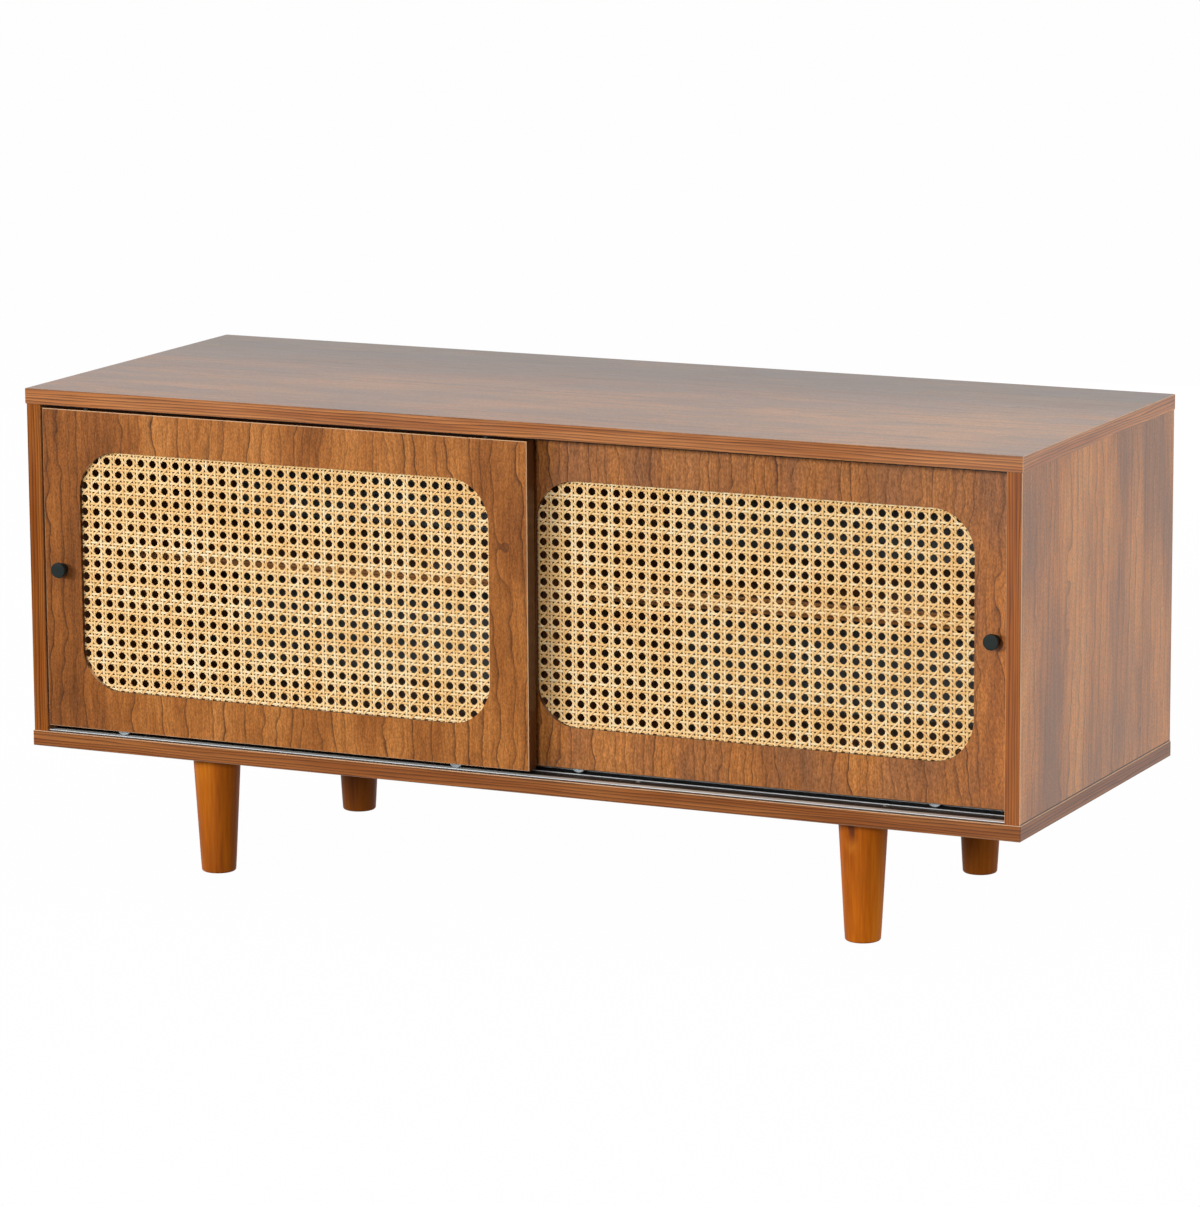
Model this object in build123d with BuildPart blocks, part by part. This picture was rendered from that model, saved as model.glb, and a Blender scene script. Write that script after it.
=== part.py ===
from build123d import *
import math
import os

os.makedirs("parts", exist_ok=True)

# Carcass, in millimetres
width = 1030.0
depth = 400.0
body_height = 352.0
board = 15.0
side_setback = 1.0
arris = 0.6

# Legs, turned and tapered, each on a hanger bolt in a threaded insert
leg_height = 120.0
leg_top_radius = 23.5
leg_foot_radius = 16.8
leg_foot_edge = 1.5
leg_inset_x = 175.0
leg_inset_y = 53.0
hanger_radius = 4.0
hanger_in_leg = 32.0
insert_wall = 2.0
insert_web = 2.0

# Sliding doors
door_overlap = 44.6
door_thickness = 15.0
door_recess = 2.5
door_spacing = 27.0
door_side_gap = 1.3
door_top_gap = 3.5
door_bottom_gap = 6.0
stile_width = 40.0
rail_width = 39.0
window_radius = 42.0
front_lip = 4.0

# Cane webbing, as a net with a gap for every third hole, and the stepped frame that holds it
cane_thickness = 1.2
cane_tuck = 5.5
cane_gap_pitch = 38.0
cane_gap_side = 20.0
retainer_nose = 6.0
retainer_flange = 15.0
retainer_flange_thickness = 3.0
retainer_screw_margin = 10.5

# Knobs, short enough for the rear one to pass behind the front door
knob_face_radius = 7.5
knob_neck_radius = 4.6
knob_base_radius = 5.4
knob_face_thickness = 3.6
knob_edge = 0.8
knob_cap = 5.5
knob_pass_gap = 0.5
knob_retainer_gap = 1.0
knob_screw_radius = 2.0
knob_screw_head_radius = 4.0
knob_screw_head = 2.2

# Rollers in the doors' bottom edges
roller_inset = 80.0
wheel_radius = 8.0
wheel_width = 4.0
wheel_floor_gap = 0.3
wheel_side_gap = 0.5
wheel_top_gap = 1.0
axle_radius = 1.5
axle_running_gap = 0.06
housing_length = 36.0
housing_wall = 2.0
housing_roof = 2.5

# Guide pins in the doors' top edges
guide_inset = 45.0
guide_radius = 3.0
guide_in_door = 12.0
guide_top_gap = 1.3
guide_running_gap = 0.3

# Tracks, from in front of the front door's wheels to behind the rear door's
track_front = 3.5
track_behind = 11.0
track_end_gap = 0.5
bottom_track_floor = 1.0
bottom_track_lip = 1.6
bottom_track_lip_width = 2.0
screw_slot_floor = 0.5
screw_slot_width = 5.6
screw_slot_shift = 1.5
top_track_flange = 1.2
top_track_wall = 1.2
top_track_rise = 7.5
track_screw_count = 4

# Inside
divider_gap = 5.5
shelf_setback = 161.0
shelf_level = 141.0
shelf_side_gap = 0.75
shelf_back_gap = 1.0
shelf_pin_inset = 40.0
shelf_pin_radius = 2.5
shelf_pin_web = 0.9
shelf_pin_reach = 8.0
shelf_pin_height = 4.0

# Back panels, held in grooves and joined by a strip behind the divider
back_thickness = 3.0
back_inset = 9.0
back_groove_depth = 6.0
back_groove_play = 0.2
back_edge_play = 0.5
cable_hole_radius = 25.0
joint_strip_width = 14.0
joint_strip_wall = 1.0
joint_strip_web = 2.0

# Knock-down fittings
fitting_inset = 65.0
cam_radius = 7.4
cam_web = 3.0
cam_distance = 30.0
cam_slot = 1.6
cam_slot_length = 10.4
bolt_thread_radius = 3.0
bolt_shank_radius = 2.6
bolt_neck_radius = 1.4
bolt_neck_length = 5.0
bolt_head_radius = 3.0
bolt_head_length = 4.0
bolt_web = 5.0
bolt_hole_gap = 0.4
dowel_radius = 4.0
dowel_web = 5.5
dowel_in_end = 20.0
dowel_offset = 40.0

# Screws, and the numbers of sides that stand for a round on turned pieces, fittings and holes
screw_radius = 1.4
screw_head_radius = 2.6
screw_head = 0.9
screw_length = 10.0
hole_gap = 0.1
turned_sides = 24
fitting_sides = 12
fastener_sides = 6

# Places in depth: the knob stands proud of the body, which sets the body back from the middle
knob_length = door_spacing - door_thickness - knob_pass_gap
knob_proud = max(knob_length - door_recess, 0.0)
front = (knob_proud - depth) / 2
back = front + depth
middle_y = (front + back) / 2
door_faces = [front + door_recess, front + door_recess + door_spacing]
door_mid_rows = [face + door_thickness / 2 for face in door_faces]
divider_front = door_faces[1] + door_thickness + divider_gap
shelf_front = front + shelf_setback
back_front = back - back_inset - back_thickness
back_groove_y = back_front + back_thickness / 2
back_groove_width = back_thickness + 2 * back_groove_play
shelf_back = back_front - shelf_back_gap
joint_strip_front = back_front - back_groove_play - joint_strip_wall
joint_strip_rear = back_front + back_thickness + back_groove_play
divider_back = joint_strip_front

# Levels
bottom_top = leg_height + board
top_under = leg_height + body_height - board
clear_height = top_under - bottom_top
body_middle_z = leg_height + body_height / 2
shelf_bottom = bottom_top + shelf_level
shelf_pin_level = shelf_bottom - shelf_pin_height / 2
cable_hole_z = (shelf_bottom + board + top_under) / 2
cam_levels = [bottom_top + cam_distance, top_under - cam_distance]

# Places across
inner_half = width / 2 - side_setback - board
side_middle = inner_half + board / 2
shelf_width = inner_half - board / 2 - 2 * shelf_side_gap
bay_middle = (inner_half + board / 2) / 2
back_groove_length = 2 * (inner_half + back_groove_depth)
track_length = 2 * (inner_half - track_end_gap)
track_width = door_mid_rows[1] + track_behind - front - track_front
guide_slot_width = 2 * (guide_radius + guide_running_gap)
guide_groove_width = guide_slot_width + 2 * (top_track_wall + hole_gap)
slot_y = sum(door_mid_rows) / 2 + screw_slot_shift

# Depths of fittings in the boards
bolt_thread_length = board - bolt_web
dowel_in_panel = board - dowel_web
cam_length = board - cam_web
shelf_pin_depth = board / 2 - shelf_pin_web
insert_length = board - insert_web
insert_radius = hanger_radius + hole_gap + insert_wall

# Where the fittings stand in plan
fitting_rows = [front + fitting_inset, back - fitting_inset]
dowel_rows = [fitting_rows[0] + dowel_offset, fitting_rows[1] - dowel_offset]
corner_fittings = [(side * side_middle, y) for side in (-1, 1) for y in fitting_rows]
corner_dowels = [(side * side_middle, y) for side in (-1, 1) for y in dowel_rows]
divider_dowels = [(0, divider_front + dowel_offset), (0, divider_back - dowel_offset)]
panel_dowels = corner_dowels + divider_dowels
leg_x = width / 2 - leg_inset_x
leg_y = depth / 2 - leg_inset_y
leg_places = [(x * leg_x, middle_y + y * leg_y) for x in (-1, 1) for y in (-1, 1)]
track_screw_step = track_length / track_screw_count
track_screw_first = -track_screw_step * (track_screw_count - 1) / 2
track_screws = [(track_screw_first + i * track_screw_step, slot_y) for i in range(track_screw_count)]
shelf_pin_rows = [shelf_front + shelf_pin_inset, shelf_back - shelf_pin_inset]

up = (0, 0, 1)
down = (0, 0, -1)
ahead = (0, -1, 0)
behind = (0, 1, 0)


def save(piece, name):
    piece.label = name
    export_step(piece, f"parts/{name}.step")


# Planes on a surface, facing out of it, where something is drilled or set in
def seats(points, outward):
    return [Plane(origin=point, z_dir=outward) for point in points]


def at_level(places, z):
    return [(x, y, z) for x, y in places]


# Outline of a small fastener or its hole, drawn on each seat
def marks(places, radius, sides=fastener_sides):
    with BuildSketch(*places) as outlines:
        RegularPolygon(radius, sides)
    return outlines.sketch


# Pins of several thicknesses, running inwards from their seats
def stepped_pins(places, steps, sides=fastener_sides):
    with BuildPart() as pins:
        start = 0.0
        for radius, length in steps:
            extrude(marks([place.offset(-start) for place in places], radius, sides), amount=-length)
            start += length
    return pins.part


# A turned taper, from one radius to another along the seat's normal, with flat facets
def tapered(place, start, end, length):
    turns = [2 * math.pi * i / turned_sides for i in range(turned_sides)]
    lower = [place.from_local_coords((start * math.cos(a), start * math.sin(a), 0)) for a in turns]
    upper = [place.from_local_coords((end * math.cos(a), end * math.sin(a), length)) for a in turns]
    loops = [lower, upper]
    loops += [[lower[i - 1], lower[i], upper[i], upper[i - 1]] for i in range(turned_sides)]
    return Solid(Shell([Face(Wire.make_polygon(loop)) for loop in loops]))


def outlined_face(place, outline):
    with BuildSketch(place) as profile:
        with BuildLine():
            Polyline(*outline, close=True)
        make_face()
    return profile.sketch


# Top panel, grooved underneath for the guide track and the back panels
with BuildPart() as top_panel:
    with BuildSketch(Plane.XY.offset(top_under)):
        with Locations((0, middle_y)):
            Rectangle(width, depth)
    extrude(amount=board)
    chamfer(top_panel.edges(), length=arris)
    with BuildSketch(Plane.XY.offset(top_under)):
        with Locations(*[(0, y) for y in door_mid_rows]):
            Rectangle(2 * inner_half, guide_groove_width)
    extrude(amount=top_track_rise + hole_gap, mode=Mode.SUBTRACT)
    with BuildSketch(Plane.XY.offset(top_under)):
        with Locations((0, back_groove_y)):
            Rectangle(back_groove_length, back_groove_width)
    extrude(amount=back_groove_depth, mode=Mode.SUBTRACT)
    bolt_seats = seats(at_level(corner_fittings, top_under), down)
    dowel_seats = seats(at_level(panel_dowels, top_under), down)
    screw_seats = seats(at_level(track_screws, top_under), down)
    bolt_holes = marks(bolt_seats, bolt_thread_radius + hole_gap)
    dowel_holes = marks(dowel_seats, dowel_radius + hole_gap)
    screw_holes = marks(screw_seats, screw_radius + hole_gap)
    extrude(bolt_holes, amount=-bolt_thread_length - hole_gap, mode=Mode.SUBTRACT)
    extrude(dowel_holes, amount=-dowel_in_panel - hole_gap, mode=Mode.SUBTRACT)
    extrude(screw_holes, amount=-screw_length, mode=Mode.SUBTRACT)
save(top_panel.part, "top_panel")

# Bottom panel, drilled from below for the legs' inserts
with BuildPart() as bottom_panel:
    with BuildSketch(Plane.XY.offset(leg_height)):
        with Locations((0, middle_y)):
            Rectangle(width, depth)
    extrude(amount=board)
    chamfer(bottom_panel.edges(), length=arris)
    with BuildSketch(Plane.XY.offset(bottom_top)):
        with Locations((0, back_groove_y)):
            Rectangle(back_groove_length, back_groove_width)
    extrude(amount=-back_groove_depth, mode=Mode.SUBTRACT)
    bolt_seats = seats(at_level(corner_fittings, bottom_top), up)
    dowel_seats = seats(at_level(panel_dowels, bottom_top), up)
    screw_seats = seats(at_level(track_screws, bottom_top), up)
    insert_seats = seats(at_level(leg_places, leg_height), down)
    bolt_holes = marks(bolt_seats, bolt_thread_radius + hole_gap)
    dowel_holes = marks(dowel_seats, dowel_radius + hole_gap)
    screw_holes = marks(screw_seats, screw_radius + hole_gap)
    insert_holes = marks(insert_seats, insert_radius + hole_gap)
    extrude(bolt_holes, amount=-bolt_thread_length - hole_gap, mode=Mode.SUBTRACT)
    extrude(dowel_holes, amount=-dowel_in_panel - hole_gap, mode=Mode.SUBTRACT)
    extrude(screw_holes, amount=-screw_length, mode=Mode.SUBTRACT)
    extrude(insert_holes, amount=-insert_length - hole_gap, mode=Mode.SUBTRACT)
save(bottom_panel.part, "bottom_panel")

# Side panels stand between top and bottom, with cams let into their inner faces
for name, side in [("left_side_panel", -1), ("right_side_panel", 1)]:
    inner_face = side * inner_half
    inward = (-side, 0, 0)
    with BuildPart() as side_panel:
        with BuildSketch(Plane.XY.offset(bottom_top)):
            with Locations((side * side_middle, middle_y + side_setback / 2)):
                Rectangle(board, depth - side_setback)
        extrude(amount=clear_height)
        chamfer(side_panel.edges().filter_by(Axis.Z).group_by(Axis.Y)[0], length=arris)
        with BuildSketch(Plane.XY.offset(bottom_top)):
            with Locations((inner_face, back_groove_y)):
                Rectangle(2 * back_groove_depth, back_groove_width)
        extrude(amount=clear_height, mode=Mode.SUBTRACT)
        bolts = [(side * side_middle, y) for y in fitting_rows]
        pegs = [(side * side_middle, y) for y in dowel_rows]
        for level, outward in [(bottom_top, down), (top_under, up)]:
            bolt_holes = marks(seats(at_level(bolts, level), outward), bolt_head_radius + bolt_hole_gap)
            dowel_holes = marks(seats(at_level(pegs, level), outward), dowel_radius + hole_gap)
            extrude(bolt_holes, amount=-cam_distance, mode=Mode.SUBTRACT)
            extrude(dowel_holes, amount=-dowel_in_end - hole_gap, mode=Mode.SUBTRACT)
        cams = [(inner_face, y, z) for y in fitting_rows for z in cam_levels]
        pins = [(inner_face, y, shelf_pin_level) for y in shelf_pin_rows]
        cam_bores = marks(seats(cams, inward), cam_radius + hole_gap, fitting_sides)
        pin_holes = marks(seats(pins, inward), shelf_pin_radius + hole_gap)
        extrude(cam_bores, amount=-cam_length - hole_gap, mode=Mode.SUBTRACT)
        extrude(pin_holes, amount=-shelf_pin_depth - hole_gap, mode=Mode.SUBTRACT)
    save(side_panel.part, name)

# Centre divider, behind both doors
with BuildPart() as centre_divider:
    with BuildSketch(Plane.XY.offset(bottom_top)):
        with Locations((0, (divider_front + divider_back) / 2)):
            Rectangle(board, divider_back - divider_front)
    extrude(amount=clear_height)
    chamfer(centre_divider.edges().filter_by(Axis.Z).group_by(Axis.Y)[0], length=arris)
    for level, outward in [(bottom_top, down), (top_under, up)]:
        dowel_holes = marks(seats(at_level(divider_dowels, level), outward), dowel_radius + hole_gap)
        extrude(dowel_holes, amount=-dowel_in_end - hole_gap, mode=Mode.SUBTRACT)
    for side in (-1, 1):
        pins = [(side * board / 2, y, shelf_pin_level) for y in shelf_pin_rows]
        pin_holes = marks(seats(pins, (side, 0, 0)), shelf_pin_radius + hole_gap)
        extrude(pin_holes, amount=-shelf_pin_depth - hole_gap, mode=Mode.SUBTRACT)
save(centre_divider.part, "centre_divider")

# Shelves of part depth, one in each bay
for name, side in [("left_shelf", -1), ("right_shelf", 1)]:
    with BuildPart() as shelf:
        with BuildSketch(Plane.XY.offset(shelf_bottom)):
            with Locations((side * bay_middle, (shelf_front + shelf_back) / 2)):
                Rectangle(shelf_width, shelf_back - shelf_front)
        extrude(amount=board)
        chamfer(shelf.edges().filter_by(Axis.X).group_by(Axis.Y)[0], length=arris)
    save(shelf.part, name)

# Back panels with a cable hole each, above the shelf
back_inner_edge = joint_strip_web / 2 + back_edge_play
back_outer_edge = inner_half + back_groove_depth - back_edge_play
back_height = clear_height + 2 * (back_groove_depth - back_edge_play)

for name, side in [("left_back_panel", -1), ("right_back_panel", 1)]:
    with BuildPart() as back_panel:
        with BuildSketch(Plane.XZ.offset(-back_front)):
            with Locations((side * (back_inner_edge + back_outer_edge) / 2, body_middle_z)):
                Rectangle(back_outer_edge - back_inner_edge, back_height)
            with Locations((side * bay_middle, cable_hole_z)):
                Circle(cable_hole_radius, mode=Mode.SUBTRACT)
        extrude(amount=-back_thickness)
    save(back_panel.part, name)

# Joint strip of H section, which takes the meeting edges of the back panels
with BuildPart() as joint_strip:
    with BuildSketch(Plane.XY.offset(bottom_top)):
        with Locations((0, joint_strip_front + joint_strip_wall / 2)):
            Rectangle(joint_strip_width, joint_strip_wall)
        with Locations((0, back_groove_y)):
            Rectangle(joint_strip_web, back_groove_width)
        with Locations((0, joint_strip_rear + joint_strip_wall / 2)):
            Rectangle(joint_strip_width, joint_strip_wall)
    extrude(amount=clear_height)
save(joint_strip.part, "back_joint_strip")

# Bottom track: two shallow channels with lips, and a sunk slot between them for its screws
track_near = front + track_front
track_far = track_near + track_width
slot_near = slot_y - screw_slot_width / 2
slot_far = slot_y + screw_slot_width / 2
track_outline = [
    (track_near, 0),
    (track_near, bottom_track_lip),
    (track_near + bottom_track_lip_width, bottom_track_lip),
    (track_near + bottom_track_lip_width, bottom_track_floor),
    (slot_near, bottom_track_floor),
    (slot_near, screw_slot_floor),
    (slot_far, screw_slot_floor),
    (slot_far, bottom_track_lip),
    (slot_far + bottom_track_lip_width, bottom_track_lip),
    (slot_far + bottom_track_lip_width, bottom_track_floor),
    (track_far - bottom_track_lip_width, bottom_track_floor),
    (track_far - bottom_track_lip_width, bottom_track_lip),
    (track_far, bottom_track_lip),
    (track_far, 0),
]
bottom_screw_seats = seats(at_level(track_screws, bottom_top + screw_slot_floor), up)

with BuildPart() as bottom_track:
    track_end = Plane.YZ.offset(-track_length / 2)
    extrude(outlined_face(track_end, [(y, bottom_top + z) for y, z in track_outline]), amount=track_length)
    screw_holes = marks(bottom_screw_seats, screw_radius + hole_gap)
    extrude(screw_holes, amount=-screw_slot_floor, mode=Mode.SUBTRACT)
save(bottom_track.part, "bottom_track")

# Top track: a flat flange with two upright channels let into the top panel
flange_under = top_under - top_track_flange
guide_slot_height = top_track_flange + top_track_rise - top_track_wall
top_screw_seats = seats(at_level(track_screws, flange_under), down)

with BuildPart() as top_track:
    with BuildSketch(Plane.YZ.offset(-track_length / 2)):
        with Locations((track_near + track_width / 2, flange_under + top_track_flange / 2)):
            Rectangle(track_width, top_track_flange)
        with Locations(*[(y, top_under + top_track_rise / 2) for y in door_mid_rows]):
            Rectangle(guide_slot_width + 2 * top_track_wall, top_track_rise)
        with Locations(*[(y, flange_under + guide_slot_height / 2) for y in door_mid_rows]):
            Rectangle(guide_slot_width, guide_slot_height, mode=Mode.SUBTRACT)
    extrude(amount=track_length)
    screw_holes = marks(top_screw_seats, screw_radius + hole_gap)
    extrude(screw_holes, amount=-top_track_flange, mode=Mode.SUBTRACT)
save(top_track.part, "top_track")

# Track screws: heads stand on the tracks
screw_steps = [(screw_head_radius, screw_head), (screw_radius, screw_length)]
bottom_heads = [seat.offset(screw_head) for seat in bottom_screw_seats]
top_heads = [seat.offset(screw_head) for seat in top_screw_seats]
save(stepped_pins(bottom_heads, screw_steps), "bottom_track_screws")
save(stepped_pins(top_heads, screw_steps), "top_track_screws")

# Legs, with a hole in the top for the hanger bolt
leg_names = ["left_front_leg", "left_back_leg", "right_front_leg", "right_back_leg"]

for name, (x, y) in zip(leg_names, leg_places):
    with BuildPart() as leg:
        add(tapered(Plane(origin=(x, y, 0)), leg_foot_radius, leg_top_radius, leg_height))
        chamfer(leg.faces().sort_by(Axis.Z)[0].edges(), length=leg_foot_edge)
        hanger_hole = marks(seats([(x, y, leg_height)], up), hanger_radius + hole_gap)
        extrude(hanger_hole, amount=-hanger_in_leg - hole_gap, mode=Mode.SUBTRACT)
    save(leg.part, name)

hanger_length = hanger_in_leg + insert_length
hanger_tops = seats(at_level(leg_places, leg_height + insert_length), up)
save(stepped_pins(hanger_tops, [(hanger_radius, hanger_length)]), "leg_hanger_bolts")

with BuildPart() as insert_nuts:
    insert_seats = seats(at_level(leg_places, leg_height), up)
    extrude(marks(insert_seats, insert_radius), amount=insert_length)
    hanger_holes = marks(insert_seats, hanger_radius + hole_gap)
    extrude(hanger_holes, amount=insert_length, mode=Mode.SUBTRACT)
save(insert_nuts.part, "leg_insert_nuts")

# Cam bolts: thread in the panel, shank along the board's end hole, head inside the cam
bolt_head_start = cam_distance - bolt_head_length / 2
bolt_steps = [
    (bolt_thread_radius, bolt_thread_length),
    (bolt_shank_radius, bolt_head_start - bolt_neck_length),
    (bolt_neck_radius, bolt_neck_length),
    (bolt_head_radius, bolt_head_length),
]
bolt_ends = seats(at_level(corner_fittings, bottom_top - bolt_thread_length), down)
bolt_ends += seats(at_level(corner_fittings, top_under + bolt_thread_length), up)
save(stepped_pins(bolt_ends, bolt_steps), "cam_bolts")

# Cam locks: drums with a side mouth for the bolt's head and a driver slot
with BuildPart() as cam_locks:
    for side in (-1, 1):
        drums = seats([(side * inner_half, y, z) for y in fitting_rows for z in cam_levels], (-side, 0, 0))
        extrude(marks(drums, cam_radius, fitting_sides), amount=-cam_length)
        with BuildSketch(*drums):
            Rectangle(cam_slot_length, cam_slot)
        extrude(amount=-cam_slot, mode=Mode.SUBTRACT)
    mouth_depth = cam_distance + bolt_head_length
    for level, outward in [(bottom_top, down), (top_under, up)]:
        mouths = marks(seats(at_level(corner_fittings, level), outward), bolt_head_radius + bolt_hole_gap)
        extrude(mouths, amount=-mouth_depth, mode=Mode.SUBTRACT)
save(cam_locks.part, "cam_locks")

# Dowels, across each joint between a panel and a board's end
dowel_ends = seats(at_level(panel_dowels, bottom_top - dowel_in_panel), down)
dowel_ends += seats(at_level(panel_dowels, top_under + dowel_in_panel), up)
save(stepped_pins(dowel_ends, [(dowel_radius, dowel_in_panel + dowel_in_end)]), "dowels")

# Shelf pins: a shank in the board and a flat tongue under the shelf
with BuildPart() as shelf_pins:
    for face_x, outward in [(-inner_half, 1), (-board / 2, -1), (board / 2, 1), (inner_half, -1)]:
        pin_seats = seats([(face_x, y, shelf_pin_level) for y in shelf_pin_rows], (outward, 0, 0))
        extrude(marks(pin_seats, shelf_pin_radius), amount=-shelf_pin_depth)
        tongue_length = shelf_side_gap + shelf_pin_reach
        tongue_x = face_x + outward * tongue_length / 2
        with Locations(*[(tongue_x, y, shelf_pin_level) for y in shelf_pin_rows]):
            Box(tongue_length, 2 * shelf_pin_radius, shelf_pin_height)
save(shelf_pins.part, "shelf_pins")

# Values that both doors share
door_bottom = bottom_top + door_bottom_gap
door_top = top_under - door_top_gap
door_height = door_top - door_bottom
door_middle = (door_bottom + door_top) / 2
door_width = inner_half - door_side_gap + door_overlap / 2
door_centre = inner_half - door_side_gap - door_width / 2
window_width = door_width - 2 * stile_width
window_height = door_height - 2 * rail_width
knob_inset = stile_width - retainer_flange - knob_screw_head_radius - knob_retainer_gap
knob_grip = knob_length - knob_cap
wheel_level = bottom_top + bottom_track_floor + wheel_floor_gap + wheel_radius
wheel_slot_length = 2 * (wheel_radius + wheel_top_gap)
wheel_slot_width = wheel_width + 2 * wheel_side_gap
housing_width = wheel_slot_width + 2 * housing_wall
wheel_slot_height = wheel_level + wheel_radius + wheel_top_gap - door_bottom
housing_height = wheel_slot_height + housing_roof
guide_in_track = top_track_rise - top_track_wall - guide_top_gap
knob_neck_length = knob_length - knob_face_thickness
wheel_outline = [
    (axle_radius + axle_running_gap, -wheel_width / 2),
    (wheel_radius, -wheel_width / 2),
    (wheel_radius, wheel_width / 2),
    (axle_radius + axle_running_gap, wheel_width / 2),
]


# The window's width, height and corner radius, grown by a margin
def window_size(margin):
    return window_width + 2 * margin, window_height + 2 * margin, window_radius + margin


# One sliding door: side is -1 for the left door and 1 for the right one
def sliding_door(prefix, side, face_y):
    centre_x = side * door_centre
    knob_x = side * (inner_half - door_side_gap - knob_inset)
    mid_y = face_y + door_thickness / 2
    door_back = face_y + door_thickness
    cane_front = face_y + front_lip
    cane_back = cane_front + cane_thickness
    flange_front = door_back - retainer_flange_thickness
    rollers = [(centre_x + end * (door_width / 2 - roller_inset), mid_y) for end in (-1, 1)]
    guides = [(centre_x + end * (door_width / 2 - guide_inset), mid_y) for end in (-1, 1)]
    knob_back = seats([(knob_x, door_back, door_middle)], behind)
    rail_reach = window_height / 2 + retainer_screw_margin
    stile_reach = window_width / 2 + retainer_screw_margin
    around = [(end * window_width / 4, edge * rail_reach) for end in (-1, 1) for edge in (-1, 1)]
    around += [(end * stile_reach, 0) for end in (-1, 1)]
    screw_seats = seats([(centre_x + x, door_back, door_middle + z) for x, z in around], behind)
    window_place = (centre_x, door_middle)

    with BuildPart() as frame:
        with BuildSketch(Plane.XZ.offset(-face_y)):
            with Locations(window_place):
                Rectangle(door_width, door_height)
                RectangleRounded(*window_size(0), mode=Mode.SUBTRACT)
        extrude(amount=-door_thickness)
        chamfer(frame.faces().sort_by(Axis.Y)[0].outer_wire().edges(), length=arris)
        with BuildSketch(Plane.XZ.offset(-cane_front)):
            with Locations(window_place):
                RectangleRounded(*window_size(retainer_nose + hole_gap))
        extrude(amount=-door_thickness, mode=Mode.SUBTRACT)
        with BuildSketch(Plane.XZ.offset(-flange_front)):
            with Locations(window_place):
                RectangleRounded(*window_size(retainer_flange + hole_gap))
        extrude(amount=-door_thickness, mode=Mode.SUBTRACT)
        with BuildSketch(Plane.XY.offset(door_bottom)):
            with Locations(*rollers):
                Rectangle(housing_length + 2 * hole_gap, housing_width + 2 * hole_gap)
        extrude(amount=housing_height + hole_gap, mode=Mode.SUBTRACT)
        guide_holes = marks(seats(at_level(guides, door_top), up), guide_radius + hole_gap, fitting_sides)
        screw_holes = marks(screw_seats, screw_radius + hole_gap)
        knob_hole = marks(knob_back, knob_screw_radius + hole_gap)
        knob_sink = marks(knob_back, knob_screw_head_radius + hole_gap)
        extrude(guide_holes, amount=-guide_in_door - hole_gap, mode=Mode.SUBTRACT)
        extrude(screw_holes, amount=-screw_head - screw_length - hole_gap, mode=Mode.SUBTRACT)
        extrude(knob_hole, amount=-door_thickness, mode=Mode.SUBTRACT)
        extrude(knob_sink, amount=-knob_screw_head, mode=Mode.SUBTRACT)
    save(frame.part, f"{prefix}_frame")

    with BuildPart() as cane:
        columns = int(window_width // cane_gap_pitch)
        rows = int(window_height // cane_gap_pitch)
        with BuildSketch(Plane.XZ.offset(-cane_front)):
            with Locations(window_place):
                RectangleRounded(*window_size(cane_tuck))
                with GridLocations(cane_gap_pitch, cane_gap_pitch, columns, rows):
                    Rectangle(cane_gap_side, cane_gap_side, mode=Mode.SUBTRACT)
        extrude(amount=-cane_thickness)
    save(cane.part, f"{prefix}_cane")

    # The retainer's nose presses the cane on the front lip, and its flange is screwed flush
    with BuildPart() as retainer:
        with BuildSketch(Plane.XZ.offset(-cane_back)):
            with Locations(window_place):
                RectangleRounded(*window_size(retainer_nose))
        extrude(amount=-(door_back - cane_back))
        with BuildSketch(Plane.XZ.offset(-flange_front)):
            with Locations(window_place):
                RectangleRounded(*window_size(retainer_flange))
        extrude(amount=-retainer_flange_thickness)
        with BuildSketch(Plane.XZ.offset(-cane_back)):
            with Locations(window_place):
                RectangleRounded(*window_size(0))
        extrude(amount=-door_thickness, mode=Mode.SUBTRACT)
        screw_holes = marks(screw_seats, screw_radius + hole_gap)
        screw_sinks = marks(screw_seats, screw_head_radius + hole_gap)
        extrude(screw_holes, amount=-retainer_flange_thickness, mode=Mode.SUBTRACT)
        extrude(screw_sinks, amount=-screw_head, mode=Mode.SUBTRACT)
    save(retainer.part, f"{prefix}_cane_retainer")
    save(stepped_pins(screw_seats, screw_steps), f"{prefix}_retainer_screws")

    # The knob is turned, and its screw comes through the door from behind
    with BuildPart() as knob:
        knob_seat = seats([(knob_x, face_y, door_middle)], ahead)[0]
        knob_face = marks([knob_seat.offset(knob_neck_length)], knob_face_radius, turned_sides)
        add(tapered(knob_seat, knob_base_radius, knob_neck_radius, knob_neck_length))
        extrude(knob_face, amount=knob_face_thickness)
        chamfer(knob.faces().sort_by(Axis.Y)[0].edges(), length=knob_edge)
        extrude(marks([knob_seat], knob_screw_radius + hole_gap), amount=knob_grip, mode=Mode.SUBTRACT)
    save(knob.part, f"{prefix}_knob")
    knob_screw_shank = door_thickness - knob_screw_head + knob_grip - hole_gap
    knob_screw_steps = [(knob_screw_head_radius, knob_screw_head), (knob_screw_radius, knob_screw_shank)]
    save(stepped_pins(knob_back, knob_screw_steps), f"{prefix}_knob_screw")

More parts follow.
